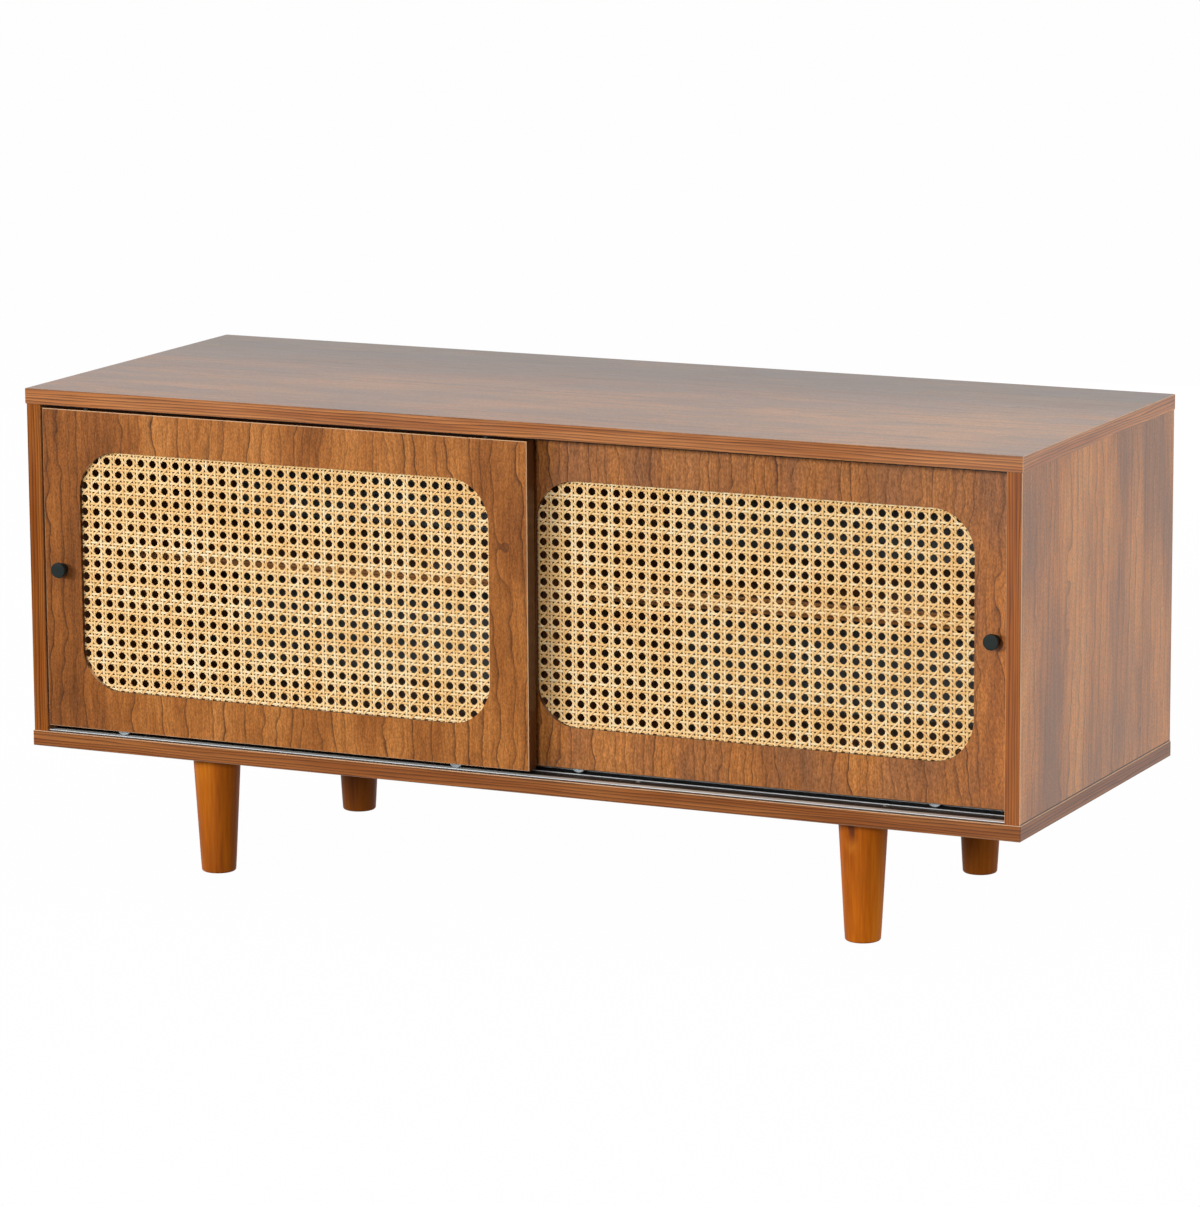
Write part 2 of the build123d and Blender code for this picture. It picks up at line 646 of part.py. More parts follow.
    # Roller housings fill the mortises, open below for the wheels
    wheel_centres = at_level(rollers, wheel_level)
    with BuildPart() as housings:
        with BuildSketch(Plane.XY.offset(door_bottom)):
            with Locations(*rollers):
                Rectangle(housing_length, housing_width)
        extrude(amount=housing_height)
        with BuildSketch(Plane.XY.offset(door_bottom)):
            with Locations(*rollers):
                Rectangle(wheel_slot_length, wheel_slot_width)
        extrude(amount=wheel_slot_height, mode=Mode.SUBTRACT)
        with BuildSketch(*seats(wheel_centres, behind)):
            RegularPolygon(axle_radius + hole_gap, fastener_sides, major_radius=False)
        extrude(amount=housing_width / 2, both=True, mode=Mode.SUBTRACT)
    save(housings.part, f"{prefix}_roller_housings")

    with BuildPart() as axles:
        with Locations(*seats(wheel_centres, behind)):
            Cylinder(axle_radius, housing_width)
    save(axles.part, f"{prefix}_roller_axles")

    for hand, centre in zip(["left", "right"], wheel_centres):
        with BuildPart() as wheel:
            wheel_plane = Plane(origin=centre, x_dir=(1, 0, 0), z_dir=up)
            revolve(outlined_face(wheel_plane, wheel_outline), axis=Axis(centre, behind))
        save(wheel.part, f"{prefix}_{hand}_wheel")

    guide_tips = seats(at_level(guides, door_top + door_top_gap + guide_in_track), up)
    guide_length = guide_in_track + door_top_gap + guide_in_door
    guide_pins = stepped_pins(guide_tips, [(guide_radius, guide_length)], fitting_sides)
    save(guide_pins, f"{prefix}_guide_pins")


sliding_door("front_door", -1, door_faces[0])
sliding_door("rear_door", 1, door_faces[1])
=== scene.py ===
import math
import random

import bmesh
import bpy
from mathutils import Matrix, Vector


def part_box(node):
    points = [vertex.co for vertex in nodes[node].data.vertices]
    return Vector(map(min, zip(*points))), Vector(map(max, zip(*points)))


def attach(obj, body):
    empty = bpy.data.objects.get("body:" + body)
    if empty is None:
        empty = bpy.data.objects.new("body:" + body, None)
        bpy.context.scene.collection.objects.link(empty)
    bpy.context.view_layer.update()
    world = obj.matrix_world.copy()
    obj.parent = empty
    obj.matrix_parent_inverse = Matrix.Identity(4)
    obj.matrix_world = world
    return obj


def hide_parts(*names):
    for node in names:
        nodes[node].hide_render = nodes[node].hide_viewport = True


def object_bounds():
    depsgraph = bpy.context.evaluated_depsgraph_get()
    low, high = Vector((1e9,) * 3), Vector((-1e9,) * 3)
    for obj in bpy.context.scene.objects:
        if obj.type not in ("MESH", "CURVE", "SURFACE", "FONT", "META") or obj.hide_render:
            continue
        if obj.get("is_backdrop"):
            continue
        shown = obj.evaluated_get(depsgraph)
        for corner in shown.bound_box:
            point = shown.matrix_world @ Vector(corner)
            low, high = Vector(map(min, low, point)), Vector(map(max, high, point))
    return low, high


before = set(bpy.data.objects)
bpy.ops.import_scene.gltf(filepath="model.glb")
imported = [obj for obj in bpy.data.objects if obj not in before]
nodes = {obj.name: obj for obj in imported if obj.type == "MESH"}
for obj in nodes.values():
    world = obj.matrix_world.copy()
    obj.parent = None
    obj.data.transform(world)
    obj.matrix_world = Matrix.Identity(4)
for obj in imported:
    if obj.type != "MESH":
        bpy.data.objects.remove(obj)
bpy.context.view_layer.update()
print("frame loaded:", len(nodes), "nodes")


# small helpers

def linear(red, green, blue):
    steps = []
    for value in (red, green, blue):
        share = value / 255
        steps.append(share / 12.92 if share <= 0.04045 else ((share + 0.055) / 1.055) ** 2.4)
    return (*steps, 1.0)


def addObject(name, data):
    made = bpy.data.objects.new(name, data)
    bpy.context.scene.collection.objects.link(made)
    return made


def setInputs(tree, made, inputs):
    for key, value in inputs.items():
        if isinstance(value, bpy.types.NodeSocket):
            tree.links.new(value, made.inputs[key])
        else:
            made.inputs[key].default_value = value


def addNode(tree, kind, inputs=None, **settings):
    made = tree.nodes.new(kind)
    for key, value in settings.items():
        setattr(made, key, value)
    setInputs(tree, made, inputs or {})
    return made


def calc(tree, operation, first, second=0.0, third=0.0, clamp=False):
    inputs = {0: first, 1: second, 2: third}
    return addNode(tree, "ShaderNodeMath", inputs, operation=operation, use_clamp=clamp).outputs[0]


def remap(tree, value, fromLow, fromHigh, toLow, toHigh, smooth=False):
    kind = "SMOOTHSTEP" if smooth else "LINEAR"
    inputs = {0: value, 1: fromLow, 2: fromHigh, 3: toLow, 4: toHigh}
    return addNode(tree, "ShaderNodeMapRange", inputs, interpolation_type=kind).outputs[0]


def mixColour(tree, share, first, second, blend="MIX"):
    inputs = {0: share, 6: first, 7: second}
    made = addNode(tree, "ShaderNodeMix", inputs, data_type="RGBA", blend_type=blend)
    return made.outputs[2]


def noise(tree, vector, scale, shift=(0, 0, 0), detail=2.0, roughness=0.5, distortion=0.0):
    scaled = {"Vector": vector, "Scale": scale, "Location": shift}
    place = addNode(tree, "ShaderNodeMapping", scaled)
    inputs = {
        "Vector": place.outputs[0],
        "Scale": 1.0,
        "Detail": detail,
        "Roughness": roughness,
        "Distortion": distortion,
    }
    return addNode(tree, "ShaderNodeTexNoise", inputs).outputs[0]


def dice(tree, value):
    kind = "ShaderNodeTexWhiteNoise"
    return addNode(tree, kind, {"W": value}, noise_dimensions="1D").outputs[0]


def axesOf(tree, vector):
    return addNode(tree, "ShaderNodeSeparateXYZ", {0: vector}).outputs


def ramp(tree, value, stops):
    made = addNode(tree, "ShaderNodeValToRGB", {0: value})
    elements = made.color_ramp.elements
    while len(elements) < len(stops):
        elements.new(1.0)
    for element, (place, colour) in zip(elements, stops):
        element.position = place
        element.color = colour
    return made.outputs[0]


def grey(tree, value):
    return addNode(tree, "ShaderNodeCombineColor", {0: value, 1: value, 2: value}).outputs[0]


def emptyMaterial(name):
    material = bpy.data.materials.new(name)
    material.use_nodes = True
    material.node_tree.nodes.clear()
    return material, material.node_tree


def newMaterial(name):
    material, tree = emptyMaterial(name)
    shader = addNode(tree, "ShaderNodeBsdfPrincipled")
    addNode(tree, "ShaderNodeOutputMaterial", {"Surface": shader.outputs[0]})
    place = addNode(tree, "ShaderNodeTexCoord")
    return material, tree, shader, place


def addBump(tree, shader, height, strength, distance):
    inputs = {"Height": height, "Strength": strength, "Distance": distance}
    tree.links.new(addNode(tree, "ShaderNodeBump", inputs).outputs[0], shader.inputs["Normal"])


def onAxes(across, along, thin, values):
    spread = [0.0, 0.0, 0.0]
    spread[across], spread[along], spread[thin] = values
    return spread


# walnut laminate: printed grain on the faces, striped band on the edges, pale arrises as a painted
# highlight

walnut = {
    "dark": (118, 68, 30),
    "red": (150, 88, 37),
    "mid": (172, 106, 48),
    "light": (198, 130, 66),
    "dull": (138, 104, 80),
    "line": (66, 38, 22),
    "edgeDark": (66, 32, 12),
    "edge": (176, 104, 50),
    "edgeLight": (202, 130, 72),
    # pale arris colour: a painted highlight
    "arris": (232, 190, 150),
    # joint colour: a painted shadow in the gap under a board
    "joint": (34, 22, 14),
    "stops": [(-0.14, "dark"), (-0.05, "red"), (0.03, "mid"), (0.16, "light")],
    "roughness": 0.32,
    "bump": (0.1, 0.0002),
    # noise scales across and along the grain
    "bands": (9, 0.8),
    "threads": (250, 9),
    "dust": (780, 430),
    "fibre": 640,
    "pores": 820,
    "poreRun": 2.5,
    "fade": (26, 9),
    # how much each noise counts in the ground colour
    "bandsShare": 0.44,
    "cloudsShare": 0.4,
    "threadsShare": 0.16,
    # scales and reach of each wave that bends the growth lines
    "waves": [(4, 1.6, 0.083), (24, 2.5, 0.032), (40, 32, 0.0144), (110, 80, 0.0029)],
    "lineSharp": 10.0,
    "hazeSharp": 3.0,
    "hairSharp": 5.0,
    "hairsPerLine": 3.0,
    # strength of each mark
    "hazeShare": 0.3,
    "hairShare": 0.4,
    "lineShare": 0.85,
    "streakShare": 0.12,
    "dustShare": 0.18,
    "smoothTone": 1.02,
    "poreTone": 0.84,
    "sweepSway": 0.12,
    # edge band: noise scales across, along and through the board
    "edgeDrift": (4, 4, 90),
    "edgeThread": (22, 22, 1100),
    "edgeWave": (6, 6, 130),
    "edgeWaveReach": 2.4,
    "stripeSpacing": 0.0029,
    "stripeSharp": 2.3,
    "stripeLeast": 0.75,
}


def walnutBoard(name, thin, along, seed, bend=1.0, lines=1.0, dull=0.0, tone=1.0, specular=0.5,
                speckle=1.0, contrast=1.0, spacing=0.016, figure=(26, 8), fibreRun=70,
                edgeTone=(1.0, 1.0, 1.0), endTone=1.0, stripes=1.0, arrisShare=0.7,
                arrisTowards=None, rims=(), reflectionSweeps=()):
    across = 3 - thin - along
    low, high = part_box(name)
    material, tree, shader, place = newMaterial("walnut_" + name)
    at = place.outputs["Object"]
    shift = (seed * 3.17, seed * 5.31, seed * 1.73)

    def grain(acrossScale, alongScale, thinScale=0, **kind):
        scale = onAxes(across, along, thin, (acrossScale, alongScale, thinScale))
        return noise(tree, at, scale, shift, **kind)

    parts = axesOf(tree, at)
    bands = grain(*walnut["bands"], detail=3.0)
    clouds = grain(*figure, detail=3.0)
    threads = grain(*walnut["threads"], detail=2.0)
    fibre = grain(walnut["fibre"], fibreRun, detail=1.0)
    pores = grain(walnut["pores"], fibreRun * walnut["poreRun"], detail=0.0)
    dust = grain(*walnut["dust"], detail=0.0)

    # growth lines: they bend with the sweep, darken slowly and end sharply
    run = calc(tree, "MULTIPLY_ADD", parts[across], 1 / spacing, seed * 0.37)
    for (acrossScale, alongScale, reach), part in zip(walnut["waves"], (bend, 1, 1, 1)):
        wave = grain(acrossScale, alongScale, detail=1.0)
        run = calc(tree, "MULTIPLY_ADD", wave, part * reach / spacing, run)
    step = calc(tree, "FRACT", run)
    weight = remap(tree, dice(tree, calc(tree, "FLOOR", run)), 0.1, 0.8, 0.25, 1.0)
    fade = remap(tree, grain(*walnut["fade"], detail=1.0), 0.34, 0.52, 0.5, 1.0)
    ending = remap(tree, step, 0.975, 1.0, 1.0, 0.0)
    line = calc(tree, "MULTIPLY", calc(tree, "POWER", step, walnut["lineSharp"]), ending)
    line = calc(tree, "MULTIPLY", calc(tree, "MULTIPLY", line, weight), fade)
    haze = calc(tree, "MULTIPLY", calc(tree, "POWER", step, walnut["hazeSharp"]), weight)
    run = calc(tree, "MULTIPLY", run, walnut["hairsPerLine"])
    hair = calc(tree, "POWER", calc(tree, "FRACT", run), walnut["hairSharp"])
    hair = calc(tree, "MULTIPLY", hair, dice(tree, calc(tree, "FLOOR", run)))

    share = calc(tree, "MULTIPLY", clouds, walnut["cloudsShare"])
    share = calc(tree, "MULTIPLY_ADD", bands, walnut["bandsShare"], share)
    share = calc(tree, "MULTIPLY_ADD", threads, walnut["threadsShare"], share)
    stops = [(0.5 + off / contrast, linear(*walnut[shade])) for off, shade in walnut["stops"]]
    colour = ramp(tree, share, stops)
    if dull:
        patch = calc(tree, "MULTIPLY", remap(tree, clouds, 0.62, 0.36, 0.25, 1.6), dull)
        colour = mixColour(tree, patch, colour, linear(*walnut["dull"]))
    marks = [(haze, "hazeShare", "dark"), (hair, "hairShare", "dark"), (line, "lineShare", "line")]
    for mark, strength, shade in marks:
        ink = calc(tree, "MULTIPLY", mark, walnut[strength] * lines)
        colour = mixColour(tree, ink, colour, linear(*walnut[shade]))
    swing = walnut["streakShare"] * speckle
    streak = remap(tree, fibre, 0.25, 0.75, 1 - swing, 1 + swing)
    swing = walnut["dustShare"] * speckle
    grains = remap(tree, dust, 0.25, 0.75, 1 - swing, 1 + swing)
    pit = remap(tree, pores, 0.6, 0.76, 0.0, 1.0)
    tones = (walnut["smoothTone"] * tone, walnut["poreTone"] * tone)
    grit = calc(tree, "MULTIPLY", streak, remap(tree, pit, 0.0, 1.0, *tones))
    grit = calc(tree, "MULTIPLY", grit, grains)
    colour = mixColour(tree, 1.0, colour, grey(tree, grit), "MULTIPLY")
    for axis, start, end, tint in reflectionSweeps:
        # painted reflection: the colour changes slowly from one place to another
        sway = calc(tree, "SUBTRACT", clouds, 0.5)
        wander = calc(tree, "MULTIPLY_ADD", sway, walnut["sweepSway"], parts[axis])
        reach = remap(tree, wander, start, end, 0.0, 1.0, True)
        colour = mixColour(tree, reach, colour, (*tint, 1.0), "MULTIPLY")
    for axis, side, width, shade, strength in rims:
        # a line along one side of the face: pale as a painted highlight, dark as a painted shadow
        # in a gap
        ends = (high[axis], parts[axis]) if side > 0 else (parts[axis], low[axis])
        inset = calc(tree, "SUBTRACT", *ends)
        near = remap(tree, inset, width * 0.6, width, strength, 0.0)
        colour = mixColour(tree, near, colour, linear(*walnut[shade]))

    # edge band: thin dark stripes along the board
    drift = grain(*walnut["edgeDrift"], detail=2.0)
    thread = grain(*walnut["edgeThread"], detail=1.0)
    wave = grain(*walnut["edgeWave"])
    layer = calc(tree, "MULTIPLY_ADD", parts[thin], 1 / walnut["stripeSpacing"], seed * 0.61)
    layer = calc(tree, "MULTIPLY_ADD", wave, walnut["edgeWaveReach"], layer)
    depth = calc(tree, "POWER", calc(tree, "FRACT", layer), walnut["stripeSharp"])
    ink = dice(tree, calc(tree, "FLOOR", layer))
    ink = remap(tree, ink, 0.0, 1.0, walnut["stripeLeast"] * stripes, stripes)
    depth = calc(tree, "MULTIPLY", depth, ink)
    edge = ramp(tree, drift, [(0.36, linear(*walnut["edge"])), (0.6, linear(*walnut["edgeLight"]))])
    edge = mixColour(tree, depth, edge, linear(*walnut["edgeDark"]))
    facing = axesOf(tree, place.outputs["Normal"])
    size = [calc(tree, "ABSOLUTE", facing[axis]) for axis in range(3)]
    wash = remap(tree, thread, 0.3, 0.7, 0.86, 1.14)
    wash = calc(tree, "MULTIPLY", wash, remap(tree, size[0], 0.5, 0.8, 1.0, endTone))
    tint = {i: calc(tree, "MULTIPLY", wash, part) for i, part in enumerate(edgeTone)}
    tint = addNode(tree, "ShaderNodeCombineColor", tint).outputs[0]
    edge = mixColour(tree, 1.0, edge, tint, "MULTIPLY")
    onEdge = remap(tree, size[thin], 0.5, 0.6, 1.0, 0.0)
    colour = mixColour(tree, onEdge, colour, edge)
    # pale arrises: a painted highlight on the chamfers, patchy, and with arrisTowards only on
    # chamfers turned one way
    flat = calc(tree, "MAXIMUM", calc(tree, "MAXIMUM", size[0], size[1]), size[2])
    paintedLight = remap(tree, noise(tree, at, (60, 60, 60), shift), 0.3, 0.6, 0.65, 1.0)
    arris = calc(tree, "MULTIPLY", remap(tree, flat, 0.8, 0.9, arrisShare, 0.0), paintedLight)
    if arrisTowards:
        axis, way = arrisTowards
        turned = remap(tree, facing[axis], 0.2 * way, 0.4 * way, 0.0, 1.0)
        arris = calc(tree, "MULTIPLY", arris, turned)
    colour = mixColour(tree, arris, colour, linear(*walnut["arris"]))

    rough = calc(tree, "MULTIPLY_ADD", fibre, 0.12, walnut["roughness"] - 0.06)
    looks = {"Base Color": colour, "Roughness": rough, "Specular IOR Level": specular}
    setInputs(tree, shader, looks)
    height = calc(tree, "MULTIPLY_ADD", pit, -0.6, calc(tree, "MULTIPLY", fibre, 0.5))
    addBump(tree, shader, height, *walnut["bump"])
    return material


def paint(names, material):
    for name in names:
        slots = nodes[name].data.materials
        slots.clear()
        slots.append(material)


lying = dict(thin=2, along=0)
standing = dict(thin=0, along=2)
shelf = dict(lying, lines=0.6, dull=0.8, specular=0.05, edgeTone=(1.2, 1.5, 2.0), arrisShare=0.4)
# door edges darkened to about a quarter: painted shade on the door edges
doorBoard = dict(thin=1, along=2, edgeTone=(0.26, 0.24, 0.2))
# arrisShare and arrisTowards set the strength of the painted arris highlight and which way its
# chamfers face
boards = {
    # top panel: the sweeps paint a reflection, whiter towards the right end and darker towards the
    # back; endTone makes the end faces lighter as painted light; arrisTowards keeps the painted
    # arris highlight on chamfers facing right
    "top_panel": dict(
        lying, seed=3.16, bend=0.6, lines=0.7, tone=0.97, dull=0.38, contrast=0.8, fibreRun=30,
        edgeTone=(0.93, 0.91, 0.88), endTone=1.3, arrisShare=0.8, arrisTowards=(0, 1),
        reflectionSweeps=[(1, 0.02, 0.15, (0.45, 0.47, 0.5)), (0, 0.05, 0.45, (1.3, 1.5, 1.9))],
    ),
    "bottom_panel": dict(
        lying, seed=2.9, bend=0.6, lines=0.6, dull=0.8, tone=1.2, specular=0.3, fibreRun=30,
        edgeTone=(0.68, 0.62, 0.52), arrisShare=0.8, arrisTowards=(2, 1),
    ),
    "left_side_panel": dict(
        standing, seed=4.1, lines=0.7, dull=0.3, specular=0.25, speckle=0.8, contrast=1.4,
        figure=(13, 4.5), fibreRun=30, edgeTone=(0.64, 0.5, 0.2), stripes=0.9, arrisShare=0.5,
        arrisTowards=(0, -1),
    ),
    # right side panel: tone 1.5 makes the same laminate lighter here as painted light; its rims
    # paint a highlight line at the front and a shadow line at the bottom joint
    "right_side_panel": dict(
        standing, seed=18.36, lines=0.9, dull=0.25, specular=0.44, tone=1.5, speckle=1.2,
        contrast=1.9, figure=(13, 4.5), fibreRun=30, edgeTone=(0.78, 0.6, 0.16), arrisShare=0.9,
        arrisTowards=(0, 1),
        rims=[(1, -1, 0.0014, "arris", 0.4), (2, -1, 0.0014, "joint", 0.95)],
    ),
    "centre_divider": dict(
        standing, seed=6.2, lines=0.6, dull=1.0, tone=1.3, specular=0.3, arrisShare=0.4,
    ),
    "left_shelf": dict(shelf, seed=7.4),
    "right_shelf": dict(shelf, seed=8.8),
    # front door: the rims paint highlight lines along the right and top edges
    "front_door_frame": dict(
        doorBoard, seed=10.97, bend=1.2, lines=1.45, spacing=0.0135, specular=0.3, speckle=1.2,
        arrisShare=1.0, rims=[(0, 1, 0.0008, "arris", 0.6), (2, 1, 0.0008, "arris", 0.6)],
    ),
    "rear_door_frame": dict(
        doorBoard, seed=19.85, lines=1.5, spacing=0.011, specular=0.35, tone=1.12, dull=0.2,
        speckle=1.3, arrisShare=0.3,
    ),
}
for boardName, choice in boards.items():
    paint([boardName], walnutBoard(boardName, **choice))
print("walnut boards done")


# smaller finishes

# where the bottom track's colour changes: places from front to back, then levels; the dark rear
# channel, slot and bottom line are painted shadow, and the front channel floor goes from painted
# light at the front to painted shade at its back
track = {
    "channel": (-0.1904, -0.1733),
    "rearShadowEdge": (-0.1668, -0.1662),
    "sunk": (0.1363, 0.1361),
    "joint": (0.13595, 0.13585),
    "slot": (0.1357, 0.1356),
    "bare": [(214, 219, 222), (230, 234, 236)],
    "channelLightAndShade": [(0.0, (255, 255, 255)), (0.38, (250, 248, 240)), (0.52, (20, 17, 14))],
    "paintedShadow": (30, 31, 32),
    "gapShadow": (40, 30, 24),
}


def brushedAluminium():
    material, tree, shader, place = newMaterial("track_aluminium")
    at = place.outputs["Object"]
    brush = noise(tree, at, (2, 300, 300), detail=3.0)
    smear = noise(tree, at, (14, 60, 60), detail=2.0)
    dark, light = [linear(*shade) for shade in track["bare"]]
    colour = ramp(tree, smear, [(0.3, dark), (0.7, light)])
    parts = axesOf(tree, at)
    # painted shadow: the rear channel floor and the slot dark; the front channel floor a painted
    # lit band at the front and painted shade at its back
    behind = remap(tree, parts[1], *track["rearShadowEdge"], 0.0, 1.0)
    sunk = remap(tree, parts[2], *track["sunk"], 0.0, 1.0)
    slot = remap(tree, parts[2], *track["slot"], 0.0, 1.0)
    shadowed = calc(tree, "MAXIMUM", calc(tree, "MULTIPLY", behind, sunk), slot)
    across = remap(tree, parts[1], *track["channel"], 0.0, 1.0)
    paintedLight = ramp(tree, across, [(stop, linear(*shade)) for stop, shade in track["channelLightAndShade"]])
    colour = mixColour(tree, sunk, colour, mixColour(tree, 1.0, colour, paintedLight, "MULTIPLY"))
    colour = mixColour(tree, shadowed, colour, linear(*track["paintedShadow"]))
    # painted shadow along the bottom of the track's front face, where it meets the board
    joint = remap(tree, parts[2], *track["joint"], 0.0, 1.0)
    colour = mixColour(tree, joint, colour, linear(*track["gapShadow"]))
    rough = remap(tree, brush, 0.3, 0.7, 0.4, 0.58)
    setInputs(tree, shader, {"Base Color": colour, "Metallic": 0.15, "Roughness": rough})
    addBump(tree, shader, brush, 0.04, 0.0001)
    return material


def moulded(name, base, lift, roughness, grainSize=1800, specular=0.5):
    material, tree, shader, place = newMaterial(name)
    at = place.outputs["Object"]
    fine = noise(tree, at, (grainSize,) * 3, detail=2.0)
    soft = noise(tree, at, (45, 45, 45), detail=2.0)
    colour = ramp(tree, soft, [(0.3, linear(*base)), (0.75, linear(*lift))])
    rough = remap(tree, fine, 0.3, 0.7, roughness - 0.06, roughness + 0.08)
    looks = {"Base Color": colour, "Roughness": rough, "Specular IOR Level": specular}
    setInputs(tree, shader, looks)
    addBump(tree, shader, fine, 0.1, 0.0001)
    return material


def platedSteel(name, dark, light, roughness):
    material, tree, shader, place = newMaterial(name)
    at = place.outputs["Object"]
    spangle = noise(tree, at, (240, 240, 240), detail=3.0)
    colour = ramp(tree, spangle, [(0.3, linear(*dark)), (0.7, linear(*light))])
    rough = remap(tree, spangle, 0.3, 0.7, roughness, roughness + 0.15)
    setInputs(tree, shader, {"Base Color": colour, "Metallic": 1.0, "Roughness": rough})
    return material


def fibreBoard(name, dark, light, lining=None):
    material, tree, shader, place = newMaterial(name)
    at = place.outputs["Object"]
    fleck = noise(tree, at, (260, 260, 420), detail=4.0, roughness=0.65)
    cloud = noise(tree, at, (7, 7, 7), detail=2.0)
    colour = ramp(tree, fleck, [(0.3, linear(*dark)), (0.7, linear(*light))])
    if lining:
        facing = axesOf(tree, place.outputs["Normal"])
        inside = remap(tree, facing[1], -0.4, -0.6, 0.0, 1.0)
        colour = mixColour(tree, inside, colour, linear(*lining))
    shade = remap(tree, cloud, 0.3, 0.7, 0.88, 1.1)
    colour = mixColour(tree, 1.0, colour, grey(tree, shade), "MULTIPLY")
    setInputs(tree, shader, {"Base Color": colour, "Roughness": 0.72})
    addBump(tree, shader, fleck, 0.15, 0.0002)
    return material


def plainWood(name, along, dark, mid, light, roughness, seed=0.0, specular=0.5, knot=None):
    material, tree, shader, place = newMaterial(name)
    at = place.outputs["Object"]
    fine = [420.0, 420.0, 420.0]
    wide = [34.0, 34.0, 34.0]
    fine[along] = 12.0
    wide[along] = 3.0
    shift = (seed * 2.3, seed * 1.1, seed * 3.7)
    fibre = noise(tree, at, fine, shift, detail=3.0)
    bands = noise(tree, at, wide, shift, detail=3.0, distortion=0.6)
    share = calc(tree, "MULTIPLY_ADD", bands, 0.7, calc(tree, "MULTIPLY", fibre, 0.3))
    stops = [(0.32, linear(*dark)), (0.5, linear(*mid)), (0.68, linear(*light))]
    colour = ramp(tree, share, stops)
    if knot:
        # a dark eye with fibres bent round it, and a paler swirl below
        swirl = noise(tree, at, (190, 190, 40), shift, detail=2.0)
        vectorMath = "ShaderNodeVectorMath"
        for drop, reach, tint, strength in knot["rings"]:
            middle = knot["eye"] - Vector((0, 0, drop))
            off = addNode(tree, vectorMath, {0: at, 1: middle}, operation="SUBTRACT")
            off = addNode(tree, vectorMath, {0: off.outputs[0], 1: reach}, operation="DIVIDE")
            far = addNode(tree, vectorMath, {0: off.outputs[0]}, operation="LENGTH")
            far = calc(tree, "MULTIPLY_ADD", swirl, 1.1, far.outputs["Value"])
            near = remap(tree, far, 0.75, 1.45, strength, 0.0, True)
            colour = mixColour(tree, near, colour, linear(*tint))
    rough = calc(tree, "MULTIPLY_ADD", fibre, 0.1, roughness - 0.05)
    looks = {"Base Color": colour, "Roughness": rough, "Specular IOR Level": specular}
    setInputs(tree, shader, looks)
    addBump(tree, shader, fibre, 0.06, 0.0002)
    return material


aluminium = brushedAluminium()
blackPlastic = moulded("black_plastic", (20, 20, 21), (30, 30, 31), 0.5)
# the top track is near black, darker than the black plastic: its own dark colour and painted shade
# in the gap above the doors
trackBlack = moulded("track_black", (7, 7, 8), (12, 12, 13), 0.6, specular=0.15)
knobBlack = moulded("knob_black", (28, 35, 34), (40, 48, 46), 0.5, 2600, 0.12)
nylon = moulded("wheel_nylon", (150, 160, 166), (176, 184, 188), 0.4)
stripPlastic = moulded("strip_plastic", (44, 34, 28), (58, 46, 38), 0.5)
zincSteel = platedSteel("zinc_steel", (150, 150, 146), (196, 196, 190), 0.28)
camZinc = platedSteel("cam_zinc", (128, 129, 131), (168, 169, 170), 0.42)
backBoard = fibreBoard("back_hardboard", (130, 94, 64), (164, 124, 88), (112, 115, 114))
retainerBoard = fibreBoard("retainer_board", (82, 50, 30), (108, 70, 44))
beech = plainWood("dowel_beech", 2, (180, 142, 96), (200, 164, 116), (214, 182, 136), 0.6)

paint(["bottom_track"], aluminium)
paint(["top_track"], trackBlack)
paint(["front_door_roller_housings", "rear_door_roller_housings"], blackPlastic)
paint(["front_door_guide_pins", "rear_door_guide_pins"], blackPlastic)
paint(["front_door_roller_axles", "rear_door_roller_axles", "shelf_pins"], zincSteel)
paint(["leg_hanger_bolts", "leg_insert_nuts", "cam_bolts"], zincSteel)
paint(["cam_locks"], camZinc)
paint(["left_back_panel", "right_back_panel"], backBoard)
paint(["back_joint_strip"], stripPlastic)
paint(["dowels"], beech)
paint(["front_door_cane_retainer", "rear_door_cane_retainer"], retainerBoard)
print("finishes done")


# meshes made here

def keepMesh(name, mesh, material, body, slot, *stoodFor):
    piece = addObject(name, mesh)
    mesh.materials.clear()
    mesh.materials.append(material)
    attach(piece, body)
    if stoodFor:
        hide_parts(*stoodFor)
    return piece


def closeShape(name, shape, sharpAngle):
    bmesh.ops.recalc_face_normals(shape, faces=shape.faces)
    mesh = bpy.data.meshes.new(name)
    shape.to_mesh(mesh)
    shape.free()
    mesh.shade_smooth()
    mesh.set_sharp_from_angle(angle=math.radians(sharpAngle))
    return mesh


def lathe(name, outline, turns, steps):
    # the outline runs from one end of the axis to the other,
    # and turns maps two radial steps and one along the axis to space
    onAxis = 1e-7
    shape = bmesh.new()
    rings = []
    for radius, along in outline:
        if radius < onAxis:
            rings.append([shape.verts.new(turns(0.0, 0.0, along))])
            continue
        ring = []
        for i in range(steps):
            angle = 2 * math.pi * i / steps
            spot = turns(radius * math.cos(angle), radius * math.sin(angle), along)
            ring.append(shape.verts.new(spot))
        rings.append(ring)
    for lower, upper in zip(rings, rings[1:]):
        for i in range(steps):
            j = (i + 1) % steps
            corners = [lower[i % len(lower)], lower[j % len(lower)]]
            corners += [upper[j % len(upper)], upper[i % len(upper)]]
            unique = list(dict.fromkeys(corners))
            if len(unique) > 2:
                shape.faces.new(unique)
    return closeShape(name, shape, 38)


def arc(centreRadius, centreAlong, size, startTurn, endTurn, count):
    points = []
    for i in range(count + 1):
        turn = math.radians(startTurn + (endTurn - startTurn) * i / count)
        points.append((centreRadius + size * math.cos(turn), centreAlong + size * math.sin(turn)))
    return points


